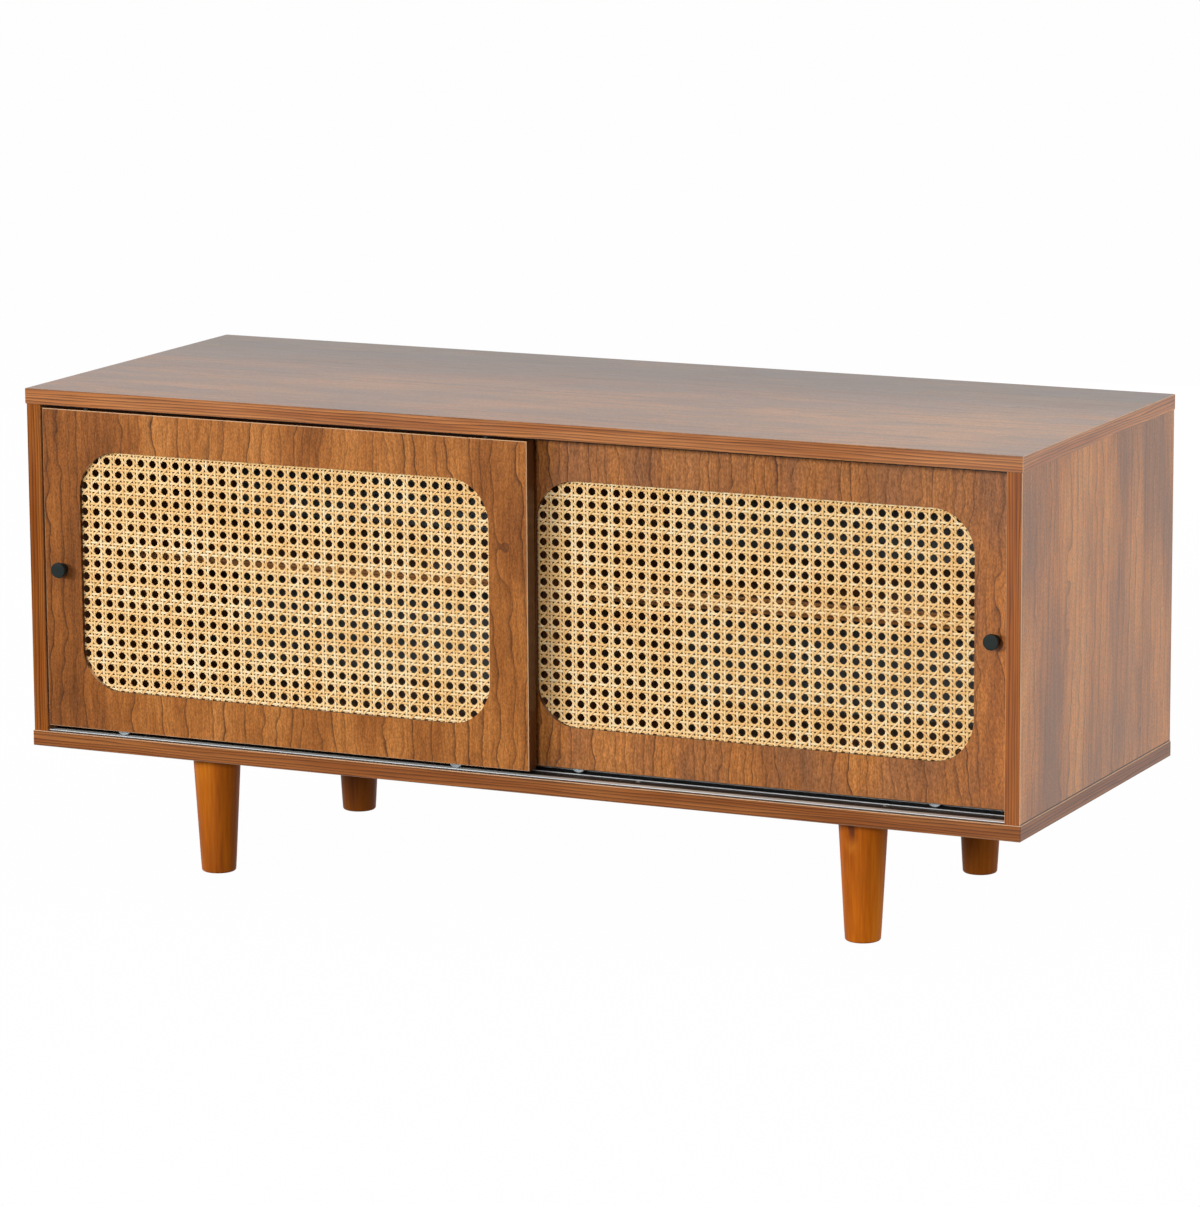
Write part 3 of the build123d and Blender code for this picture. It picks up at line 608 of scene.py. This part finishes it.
# turned legs, with a softened foot
leg = {
    "footRound": 0.0024,
    "topRound": 0.0008,
    "taper": 0.715,
    "levels": 9,
    "steps": 72,
    "roughness": 0.5,
    "specular": 0.13,
    "dark": (152, 74, 10),
    "mid": (196, 103, 12),
    "light": (224, 130, 26),
    # each leg's tone: the back legs darker as painted shade under the cabinet; the front legs set a
    # little apart, part wood tone and part painted light
    "tones": {
        "left_front_leg": 0.9,
        "left_back_leg": 0.68,
        "right_front_leg": 1.02,
        "right_back_leg": 0.76,
    },
    "knotted": "right_front_leg",
    "knotSide": 0.1,
    "knotDrop": 0.006,
    # drop below the eye, reach on each axis, colour, strength
    "rings": [
        (0.020, (0.013, 0.02, 0.014), (226, 140, 46), 0.3),
        (0.012, (0.010, 0.02, 0.014), (140, 66, 14), 0.6),
        (0.002, (0.0074, 0.02, 0.017), (92, 44, 22), 0.85),
    ],
}
for seed, (legName, tone) in enumerate(leg["tones"].items()):
    # each leg's colours scaled by its tone, which carries the painted shade
    legShades = [tuple(value * tone for value in leg[shade]) for shade in ("dark", "mid", "light")]
    low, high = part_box(legName)
    centre = (low + high) / 2
    topRadius = (high.x - low.x) / 2
    knot = None
    if legName == leg["knotted"]:
        knotX = centre.x - leg["knotSide"] * topRadius
        eye = Vector((knotX, centre.y - topRadius, high.z - leg["knotDrop"]))
        knot = {"eye": eye, "rings": leg["rings"]}
    legWood = plainWood("wood_" + legName, 2, *legShades, leg["roughness"], 2.0 + seed,
                        leg["specular"], knot)
    footRadius = topRadius * leg["taper"]
    outline = [(0.0, 0.0)]
    outline += arc(footRadius - leg["footRound"], leg["footRound"], leg["footRound"], -90, -2, 6)
    for i in range(1, leg["levels"]):
        share = i / leg["levels"]
        outline.append((footRadius + (topRadius - footRadius) * share, high.z * share))
    outline += arc(topRadius - leg["topRound"], high.z - leg["topRound"], leg["topRound"], 0, 90, 3)
    outline.append((0.0, high.z))
    shape = lathe(legName + "_turned", outline,
                  lambda a, b, c: (centre.x + a, centre.y + b, c), leg["steps"])
    keepMesh(legName + "_turned", shape, legWood, "carcass", "leg_wood", legName)
print("legs done")


# knobs: a flat face on a waisted neck
knob = {
    "edgeRound": 0.0007,
    "neck": 0.0046,
    "neckFlare": 0.0002,
    "waist": 0.42,
    "base": 0.0054,
    "baseStep": 0.0012,
    "face": 0.0036,
    "fillet": (0.0009, 0.0008),
    "steps": 56,
}
for prefix in ("front_door", "rear_door"):
    low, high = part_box(prefix + "_knob")
    centre = (low + high) / 2
    radius = (high.z - low.z) / 2
    length = high.y - low.y
    rounding, flare = knob["edgeRound"], knob["neckFlare"]
    filletOut, filletBack = knob["fillet"]
    faceBack = length - knob["face"]
    outline = [(0.0, 0.0), (knob["base"], 0.0), (knob["base"] - flare, knob["baseStep"])]
    outline += [(knob["neck"], length * knob["waist"])]
    outline += [(knob["neck"] + flare, faceBack - filletBack)]
    outline += [(knob["neck"] + filletOut, faceBack)]
    outline += arc(radius - rounding, faceBack + rounding, rounding, -90, 0, 4)
    outline += arc(radius - rounding, length - rounding, rounding, 0, 90, 5)
    outline += [(radius * 0.5, length), (0.0, length)]
    shape = lathe(prefix + "_knob_turned", outline,
                  lambda a, b, c: (centre.x + a, high.y - c, centre.z + b), knob["steps"])
    keepMesh(prefix + "_knob_turned", shape, knobBlack, prefix, "knob_metal", prefix + "_knob")
print("knobs done")


# wheels: a crowned tread, a dished web and a hub around the axle
wheel = {
    "crown": 0.0004,
    "dish": 0.0007,
    "hub": 0.0032,
    "hubSlope": 0.0004,
    "bore": 0.00156,
    "rim": (0.0018, 0.0014),
    "rimDrop": (0.0001, 0.0002),
    "steps": 48,
}
for prefix in ("front_door", "rear_door"):
    for hand in ("left", "right"):
        node = f"{prefix}_{hand}_wheel"
        low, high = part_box(node)
        centre = (low + high) / 2
        radius = (high.z - low.z) / 2
        half = (high.y - low.y) / 2
        web = half - wheel["dish"]
        rimIn, rimOut = wheel["rim"]
        rimDrop, treadDrop = wheel["rimDrop"]
        side = [(wheel["bore"], half), (wheel["hub"], half)]
        side += [(wheel["hub"] + wheel["hubSlope"], web), (radius - rimIn, web)]
        side += [(radius - rimOut, half - rimDrop), (radius - wheel["crown"], half - treadDrop)]
        side += [(radius - wheel["crown"] * 0.3, half * 0.6)]
        outline = [(r, -a) for r, a in side] + [(radius, 0.0)] + side[::-1]
        outline.append(outline[0])
        shape = lathe(node + "_turned", outline,
                      lambda a, b, c: (centre.x + a, centre.y + c, centre.z + b), wheel["steps"])
        keepMesh(node + "_turned", shape, nylon, node + "_body", "wheel_nylon", node)
print("wheels done")


# screws: one cross-head screw, set on each seat by nodes

screw = {
    "steps": 24,
    "crossReach": 0.56,
    "crossHalf": 0.15,
    "crossDepth": 0.6,
    "crossTaper": 0.9,
    "seed": 5,
    "small": dict(headRadius=0.0026, headHeight=0.0009, shankRadius=0.0014, length=0.0109),
    "knob": dict(headRadius=0.004, headHeight=0.0022, shankRadius=0.002),
    "trackRow": -0.1705,
    "trackPlaces": (-0.373875, -0.124625, 0.124625, 0.373875),
    # round the middle of each door's window
    "windowSeats": [(-0.11, 0.12775), (0.11, 0.12775), (-0.11, -0.12775), (0.11, -0.12775),
                    (-0.2305, 0.0), (0.2305, 0.0)],
    "windowMiddle": {"front_door": (-0.2377, 0.29725), "rear_door": (0.2377, 0.29725)},
}


def screwShape(name, headRadius, headHeight, shankRadius, length):
    # stands on the z axis with the middle of its head at the origin and its shank below
    shape = bmesh.new()
    steps = screw["steps"]
    outline = [(headRadius * 0.82, 0.0), (headRadius * 0.95, -headHeight * 0.12)]
    outline += [(headRadius, -headHeight * 0.35), (headRadius, -headHeight)]
    outline += [(shankRadius, -headHeight)]
    outline += [(shankRadius, shankRadius * 1.3 - length), (shankRadius * 0.3, -length)]
    rings = []
    for radius, level in outline:
        ring = []
        for i in range(steps):
            angle = 2 * math.pi * i / steps
            spot = (radius * math.cos(angle), radius * math.sin(angle), level)
            ring.append(shape.verts.new(spot))
        rings.append(ring)
    for upper, lower in zip(rings, rings[1:]):
        for i in range(steps):
            j = (i + 1) % steps
            shape.faces.new((upper[i], upper[j], lower[j], lower[i]))
    shape.faces.new(rings[-1])
    reach, half = headRadius * screw["crossReach"], headRadius * screw["crossHalf"]
    quarter = [(reach, -half), (reach, half), (half, half)]
    cross = []
    for _ in range(4):
        cross += quarter
        quarter = [(-y, x) for x, y in quarter]
    brim = [shape.verts.new((x, y, 0.0)) for x, y in cross]
    taper, depth = screw["crossTaper"], -headHeight * screw["crossDepth"]
    pit = [shape.verts.new((x * taper, y * taper, depth)) for x, y in cross]
    rim = []
    for loop in (rings[0], brim):
        for first, second in zip(loop, loop[1:] + loop[:1]):
            rim.append(shape.edges.get((first, second)) or shape.edges.new((first, second)))
    bmesh.ops.triangle_fill(shape, edges=rim, use_beauty=True)
    for i in range(len(brim)):
        j = (i + 1) % len(brim)
        shape.faces.new((brim[i], brim[j], pit[j], pit[i]))
    shape.faces.new(pit)
    return closeShape(name, shape, 30)


def socketId(tree, label):
    for item in tree.interface.items_tree:
        if item.in_out == "INPUT" and item.name == label:
            return item.identifier
    raise KeyError(label)


def throughNodes(name, mesh, tree, values):
    # runs a node tree on a mesh and keeps the result as a plain mesh
    holder = addObject(name + "_holder", mesh)
    modifier = holder.modifiers.new("nodes", "NODES")
    modifier.node_group = tree
    for label, value in values.items():
        modifier[socketId(tree, label)] = value
    graph = bpy.context.evaluated_depsgraph_get()
    made = bpy.data.meshes.new_from_object(holder.evaluated_get(graph))
    made.name = name
    holder.modifiers.clear()
    bpy.data.objects.remove(holder)
    return made


def geometryTree(name, inputs):
    tree = bpy.data.node_groups.new(name, "GeometryNodeTree")
    for label, kind in inputs:
        tree.interface.new_socket(label, in_out="INPUT", socket_type="NodeSocket" + kind)
    tree.interface.new_socket("Geometry", in_out="OUTPUT", socket_type="NodeSocketGeometry")
    return tree, addNode(tree, "NodeGroupInput")


def endTree(tree, start, geometry):
    # plain faces with their material, as the tree's result
    real = addNode(tree, "GeometryNodeRealizeInstances", {"Geometry": geometry})
    skinned = {"Geometry": real.outputs[0], "Material": start.outputs["Material"]}
    skin = addNode(tree, "GeometryNodeSetMaterial", skinned)
    addNode(tree, "NodeGroupOutput", {0: skin.outputs[0]})


def screwTree():
    tree, start = geometryTree("screwSeats", [
        ("Geometry", "Geometry"),
        ("Screw", "Object"),
        ("Heading", "Vector"),
        ("Seed", "Int"),
        ("Material", "Material"),
    ])
    source = addNode(tree, "GeometryNodeObjectInfo", {"Object": start.outputs["Screw"]})
    placed = addNode(tree, "GeometryNodeInstanceOnPoints", {
        "Points": start.outputs["Geometry"],
        "Instance": source.outputs["Geometry"],
        "Rotation": start.outputs["Heading"],
    })
    driven = addNode(tree, "FunctionNodeRandomValue", data_type="FLOAT")
    driven.inputs["Max"].default_value = math.pi
    tree.links.new(start.outputs["Seed"], driven.inputs["Seed"])
    angle = addNode(tree, "ShaderNodeCombineXYZ", {2: driven.outputs["Value"]})
    turned = addNode(tree, "GeometryNodeRotateInstances", {
        "Instances": placed.outputs[0],
        "Rotation": angle.outputs[0],
        "Local Space": True,
    })
    endTree(tree, start, turned.outputs[0])
    return tree


def setScrews(node, body, seats, heading, sizes):
    source = addObject(node + "_source", screwShape(node + "_source", **sizes))
    places = bpy.data.meshes.new(node + "_seats")
    places.from_pydata(seats, [], [])
    made = throughNodes(node + "_cross", places, screwSeats, {
        "Screw": source,
        "Heading": heading,
        "Seed": screw["seed"],
        "Material": zincSteel,
    })
    bpy.data.objects.remove(source)
    keepMesh(node + "_cross", made, zincSteel, body, "zinc_steel", node)
    print("screws", node, len(seats), "of", len(made.polygons) // len(seats), "faces")


screwSeats = screwTree()
upward, downward, backward = (0.0, 0.0, 0.0), (math.pi, 0.0, 0.0), (-math.pi / 2, 0.0, 0.0)
for node, end, heading in (("bottom_track_screws", 1, upward), ("top_track_screws", 0, downward)):
    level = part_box(node)[end].z
    seats = [(x, screw["trackRow"], level) for x in screw["trackPlaces"]]
    setScrews(node, "carcass", seats, heading, screw["small"])
for prefix, (middleX, middleZ) in screw["windowMiddle"].items():
    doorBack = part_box(prefix + "_retainer_screws")[1].y
    seats = [(middleX + x, doorBack, middleZ + z) for x, z in screw["windowSeats"]]
    setScrews(prefix + "_retainer_screws", prefix, seats, backward, screw["small"])
    low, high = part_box(prefix + "_knob_screw")
    seat = ((low.x + high.x) / 2, high.y, (low.z + high.z) / 2)
    knobScrew = dict(screw["knob"], length=high.y - low.y)
    setScrews(prefix + "_knob_screw", prefix, [seat], backward, knobScrew)


# cane webbing: pairs of upright and level strands with two sets of diagonals,
# woven over and under
cane = {
    "pitch": 0.01267,
    "strand": 0.00238,
    "diagonal": 0.0023,
    "thickness": 0.0005,
    "pairOffset": 0.00168,
    "straightLift": 0.00024,
    "diagonalLift": 0.00044,
    "tuck": 0.0052,
    "cadTuck": 0.0055,
    "corner": 0.042,
    "shortest": 0.004,
    "endGap": 0.0006,
    "shadeSwing": 0.12,
    # the diagonals get darker shades: painted shade, as they lie on top of the weave and catch more
    # light
    "diagonalDull": 0.35,
    "strandSides": 6,
    "straightKeys": 60,
    "diagonalKeys": 90,
    "seed": 11,
    "front_door": {"holeX": -0.23954, "holeZ": 0.29103},
    "rear_door": {"holeX": 0.23896, "holeZ": 0.30377},
}


def caneMaterial():
    material, tree, shader, place = newMaterial("split_cane")
    at = place.outputs["Object"]
    shade = addNode(tree, "ShaderNodeAttribute", attribute_name="shade").outputs["Fac"]
    fleck = noise(tree, at, (420, 420, 420), detail=3.0)
    cloud = noise(tree, at, (26, 26, 26), detail=2.0)
    value = calc(tree, "MULTIPLY_ADD", shade, 0.28, calc(tree, "MULTIPLY", fleck, 0.42))
    value = calc(tree, "MULTIPLY_ADD", cloud, 0.3, value)
    colour = ramp(tree, value, [
        (0.3, linear(238, 187, 116)),
        (0.5, linear(255, 214, 150)),
        (0.7, linear(255, 236, 194)),
    ])
    setInputs(tree, shader, {"Base Color": colour, "Roughness": 0.5, "Specular IOR Level": 0.35})
    addBump(tree, shader, fleck, 0.12, 0.0001)
    return material


def weaveTree():
    tree, start = geometryTree("caneWeave", [
        ("Geometry", "Geometry"),
        ("Strand Width", "Float"),
        ("Strand Thickness", "Float"),
        ("Material", "Material"),
    ])
    lines = addNode(tree, "GeometryNodeMeshToCurve", {0: start.outputs["Geometry"]})
    facing = addNode(tree, "GeometryNodeSetCurveNormal", {"Curve": lines.outputs[0]}, mode="FREE")
    facing.inputs["Normal"].default_value = (0, -1, 0)
    width = addNode(tree, "GeometryNodeInputNamedAttribute", data_type="FLOAT")
    width.inputs["Name"].default_value = "girth"
    section = {"Resolution": cane["strandSides"], "Radius": 0.5}
    ring = addNode(tree, "GeometryNodeCurvePrimitiveCircle", section)
    spread = addNode(tree, "ShaderNodeCombineXYZ", {
        0: start.outputs["Strand Thickness"],
        1: start.outputs["Strand Width"],
        2: 1.0,
    })
    turned = addNode(tree, "GeometryNodeTransform", {"Geometry": ring.outputs[0]})
    turned.inputs["Rotation"].default_value = (0, 0, math.radians(30))
    shaped = {"Geometry": turned.outputs[0], "Scale": spread.outputs[0]}
    flat = addNode(tree, "GeometryNodeTransform", shaped)
    tube = addNode(tree, "GeometryNodeCurveToMesh", {
        "Curve": facing.outputs[0],
        "Profile Curve": flat.outputs[0],
        "Fill Caps": True,
        "Scale": width.outputs[0],
    })
    smooth = addNode(tree, "GeometryNodeSetShadeSmooth", {"Geometry": tube.outputs[0]})
    endTree(tree, start, smooth.outputs[0])
    return tree


def insideRounded(x, z, halfX, halfZ, corner):
    dx = max(abs(x) - (halfX - corner), 0.0)
    dz = max(abs(z) - (halfZ - corner), 0.0)
    return abs(x) <= halfX and abs(z) <= halfZ and dx * dx + dz * dz <= corner * corner


def clipSpan(origin, direction, reach, limits):
    # where a straight strand enters and leaves the rounded panel
    def hit(t):
        x, z = origin[0] + direction[0] * t, origin[1] + direction[1] * t
        return insideRounded(x, z, *limits)

    steps, halvings = 160, 18
    inside = [i for i in range(-steps, steps + 1) if hit(reach * i / steps)]
    if not inside:
        return None
    ends = []
    for edge, outward in ((inside[0], -1), (inside[-1], 1)):
        near, far = reach * edge / steps, reach * (edge + outward) / steps
        for _ in range(halvings):
            middle = (near + far) / 2
            if hit(middle):
                near = middle
            else:
                far = middle
        ends.append(near)
    return ends


def caneStrands(prefix):
    low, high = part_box(prefix + "_cane")
    centre = (low + high) / 2
    halfX, halfZ = (high.x - low.x) / 2, (high.z - low.z) / 2
    tuckIn = cane["cadTuck"] - cane["tuck"]
    limits = (halfX - tuckIn, halfZ - tuckIn, cane["corner"] + cane["tuck"])
    pitch, offset = cane["pitch"], cane["pairOffset"]
    phase = cane[prefix]
    holeX, holeZ = phase["holeX"] - centre.x, phase["holeZ"] - centre.z
    pick = random.Random(cane["seed"])
    points, edges, shades, girths = [], [], [], []

    def lay(origin, direction, keys, girth, dulled=0.0):
        span = clipSpan(origin, direction, halfX + halfZ, limits)
        if span is None or span[1] - span[0] < cane["shortest"]:
            return
        nearest, farthest = span[0] + cane["endGap"], span[1] - cane["endGap"]
        known = [(t, lift) for t, lift in keys if nearest < t < farthest]
        known = [(span[0], 0.0)] + known + [(span[1], 0.0)]
        # diagonal strands start darker by dulled: painted shade
        shade = pick.random() - dulled
        first = len(points)
        for t, lift in known:
            x, z = origin[0] + direction[0] * t, origin[1] + direction[1] * t
            points.append((centre.x + x, centre.y - lift, centre.z + z))
            swing = pick.uniform(-cane["shadeSwing"], cane["shadeSwing"])
            shades.append(min(max(shade + swing, 0.0), 1.0))
            girths.append(girth)
        edges.extend((i, i + 1) for i in range(first, len(points) - 1))

    def straightKeys(start, upper):
        # key places along a straight strand: over one of each crossing pair, under the other
        keys = []
        for i in range(-cane["straightKeys"], cane["straightKeys"] + 1):
            middle = start + (i + 0.5) * pitch
            lift = cane["straightLift"] * upper
            keys += [(middle - offset, -lift), (middle + offset, lift), (middle + pitch / 2, 0.0)]
        return keys

    columns = int(halfX / pitch) + 2
    for i in range(-columns, columns + 1):
        for side in (-1, 1):
            x = holeX + (i + 0.5) * pitch + side * offset
            lay((x, 0.0), (0.0, 1.0), straightKeys(holeZ, -side), cane["strand"])
            z = holeZ + (i + 0.5) * pitch + side * offset
            lay((0.0, z), (1.0, 0.0), straightKeys(holeX, side), cane["strand"])
    root = math.sqrt(0.5)
    spread = int((halfX + halfZ) / pitch) + 3
    for lean in (1, -1):
        for i in range(-spread, spread + 1):
            # the line x + lean * z = level, which passes between the holes
            level = holeX + lean * holeZ + (i + 0.5) * pitch
            origin = (level / 2, lean * level / 2)
            direction = (root, -lean * root)
            keys = []
            for j in range(-cane["diagonalKeys"], cane["diagonalKeys"] + 1):
                x = holeX + (j + 0.5) * pitch
                t = (x - origin[0]) / root
                keys.append((t, cane["diagonalLift"] * lean))
                keys.append((t + pitch / 4 / root, 0.0))
                keys.append((t + pitch / 2 / root, -cane["diagonalLift"] * lean))
                keys.append((t + pitch * 0.75 / root, 0.0))
            lay(origin, direction, keys, cane["diagonal"], cane["diagonalDull"])
    mesh = bpy.data.meshes.new(prefix + "_strands")
    mesh.from_pydata(points, edges, [])
    for label, values in (("shade", shades), ("girth", girths)):
        layer = mesh.attributes.new(label, "FLOAT", "POINT")
        layer.data.foreach_set("value", values)
    return mesh


splitCane = caneMaterial()
weave = weaveTree()
for prefix in ("front_door", "rear_door"):
    strands = caneStrands(prefix)
    woven = throughNodes(prefix + "_cane_weave", strands, weave, {
        "Strand Width": 1.0,
        "Strand Thickness": cane["thickness"] / cane["strand"],
        "Material": splitCane,
    })
    keepMesh(prefix + "_cane_weave", woven, splitCane, prefix, "cane", prefix + "_cane")
    print("cane", prefix, len(strands.edges), "segments", len(woven.polygons), "faces")


# floor, world, lamps and camera

def whiteRays(tree):
    # camera, glossy and transmission rays see plain white
    rays = addNode(tree, "ShaderNodeLightPath")
    seen = calc(tree, "MAXIMUM", rays.outputs["Is Camera Ray"], rays.outputs["Is Glossy Ray"])
    return calc(tree, "MAXIMUM", seen, rays.outputs["Is Transmission Ray"])


studio = {
    "floorSize": 60.0,
    "floorShade": 0.92,
    "floorBounce": 0.16,
    "floorWhite": 0.985,
    "horizon": 0.096,
    "overhead": 0.432,
    "flagPlace": -0.6,
    "flagWidth": (-5.0, 0.25),
    "flagHeight": 4.0,
    "flagShade": (0.02, 0.02, 0.02, 1.0),
}


def floorMaterial():
    material, tree = emptyMaterial("studio_floor")
    seen = whiteRays(tree)
    shade = grey(tree, remap(tree, seen, 0.0, 1.0, studio["floorBounce"], studio["floorShade"]))
    paper = addNode(tree, "ShaderNodeBsdfDiffuse", {"Color": shade})
    white = addNode(tree, "ShaderNodeEmission", {"Color": (1, 1, 1, 1), "Strength": 1.0})
    share = calc(tree, "MULTIPLY", seen, studio["floorWhite"])
    layers = {0: share, 1: paper.outputs[0], 2: white.outputs[0]}
    mixed = addNode(tree, "ShaderNodeMixShader", layers)
    addNode(tree, "ShaderNodeOutputMaterial", {"Surface": mixed.outputs[0]})
    return material


def setScreen(name, corners, material):
    mesh = bpy.data.meshes.new(name)
    mesh.from_pydata(corners, [], [(0, 1, 2, 3)])
    mesh.materials.append(material)
    screen = addObject(name, mesh)
    screen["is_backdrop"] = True
    return screen


half = studio["floorSize"] / 2
corners = [(-half, -half, 0), (half, -half, 0), (half, half, 0), (-half, half, 0)]
setScreen("studio_floor", corners, floorMaterial())

# a black flag in front, which only reflections see
flagCloth, tree, shader, place = newMaterial("flag_cloth")
setInputs(tree, shader, {"Base Color": studio["flagShade"], "Specular IOR Level": 0.0})
first, last = studio["flagWidth"]
near, rise = studio["flagPlace"], studio["flagHeight"]
corners = [(first, near, 0), (last, near, 0), (last, near, rise), (first, near, rise)]
flag = setScreen("black_flag", corners, flagCloth)
flag.visible_camera = False
flag.visible_diffuse = False
flag.visible_shadow = False
flag.visible_transmission = False

world = bpy.data.worlds.new("studio")
bpy.context.scene.world = world
world.use_nodes = True
sky = world.node_tree
sky.nodes.clear()
over = axesOf(sky, addNode(sky, "ShaderNodeTexCoord").outputs["Generated"])[2]
fill = remap(sky, over, 0.0, 1.0, studio["horizon"], studio["overhead"])
dim = addNode(sky, "ShaderNodeBackground", {"Color": (1, 1, 1, 1), "Strength": fill})
plain = addNode(sky, "ShaderNodeBackground", {"Color": (1, 1, 1, 1), "Strength": 1.0})
layers = {0: whiteRays(sky), 1: dim.outputs[0], 2: plain.outputs[0]}
blended = addNode(sky, "ShaderNodeMixShader", layers)
addNode(sky, "ShaderNodeOutputWorld", {"Surface": blended.outputs[0]})

lamps = {
    "key": {
        "place": (-2.1, -3.7, 1.35), "aim": (0.0, 0.0, 0.25), "size": (2.6, 0.6), "power": 116.0,
    },
    "front": {
        "place": (0.8, -4.5, 1.4), "aim": (0.1, 0.0, 0.25), "size": (1.2, 0.6), "power": 68.0,
    },
    "side": {
        "place": (3.6, 0.7, 1.3), "aim": (0.4, 0.0, 0.25), "size": (1.8, 1.8), "power": 46.0,
    },
    # below the top's level, so that the top doesn't mirror it
    "back": {
        "place": (-0.6, 3.2, 0.26), "aim": (-0.1, 0.2, 0.27), "size": (1.8, 0.3), "power": 40.0,
    },
}
for lampName, choice in lamps.items():
    light = bpy.data.lights.new(lampName, "AREA")
    light.shape = "RECTANGLE"
    light.size, light.size_y = choice["size"]
    light.energy = choice["power"]
    lamp = addObject(lampName, light)
    lamp.visible_camera = False
    lamp.location = choice["place"]
    heading = Vector(choice["aim"]) - Vector(choice["place"])
    lamp.rotation_euler = heading.to_track_quat("-Z", "Y").to_euler()

camera = {
    "place": (2.29843, -4.83090, 1.28559),
    "yaw": 0.4432,
    "pitch": 0.1884,
    "roll": -0.0059,
    "lens": 168.554,
    "sensor": 36.0,
    "farthest": 200.0,
}
sight = bpy.data.cameras.new("camera")
sight.lens = camera["lens"]
sight.sensor_width = camera["sensor"]
sight.clip_end = camera["farthest"]
eye = addObject("camera", sight)
yaw, pitch, roll = camera["yaw"], camera["pitch"], camera["roll"]
flatWay = math.cos(pitch)
ahead = Vector((-math.sin(yaw) * flatWay, math.cos(yaw) * flatWay, -math.sin(pitch)))
right = Vector((math.cos(yaw), math.sin(yaw), 0.0))
above = right.cross(ahead)
level = right * math.cos(roll) + above * math.sin(roll)
upright = above * math.cos(roll) - right * math.sin(roll)
turn = Matrix((level, upright, -ahead)).transposed().to_4x4()
eye.matrix_world = Matrix.Translation(camera["place"]) @ turn
bpy.context.scene.camera = eye
bpy.context.scene.view_settings.view_transform = "Standard"
print("stage done")

bpy.context.view_layer.update()
low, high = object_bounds()
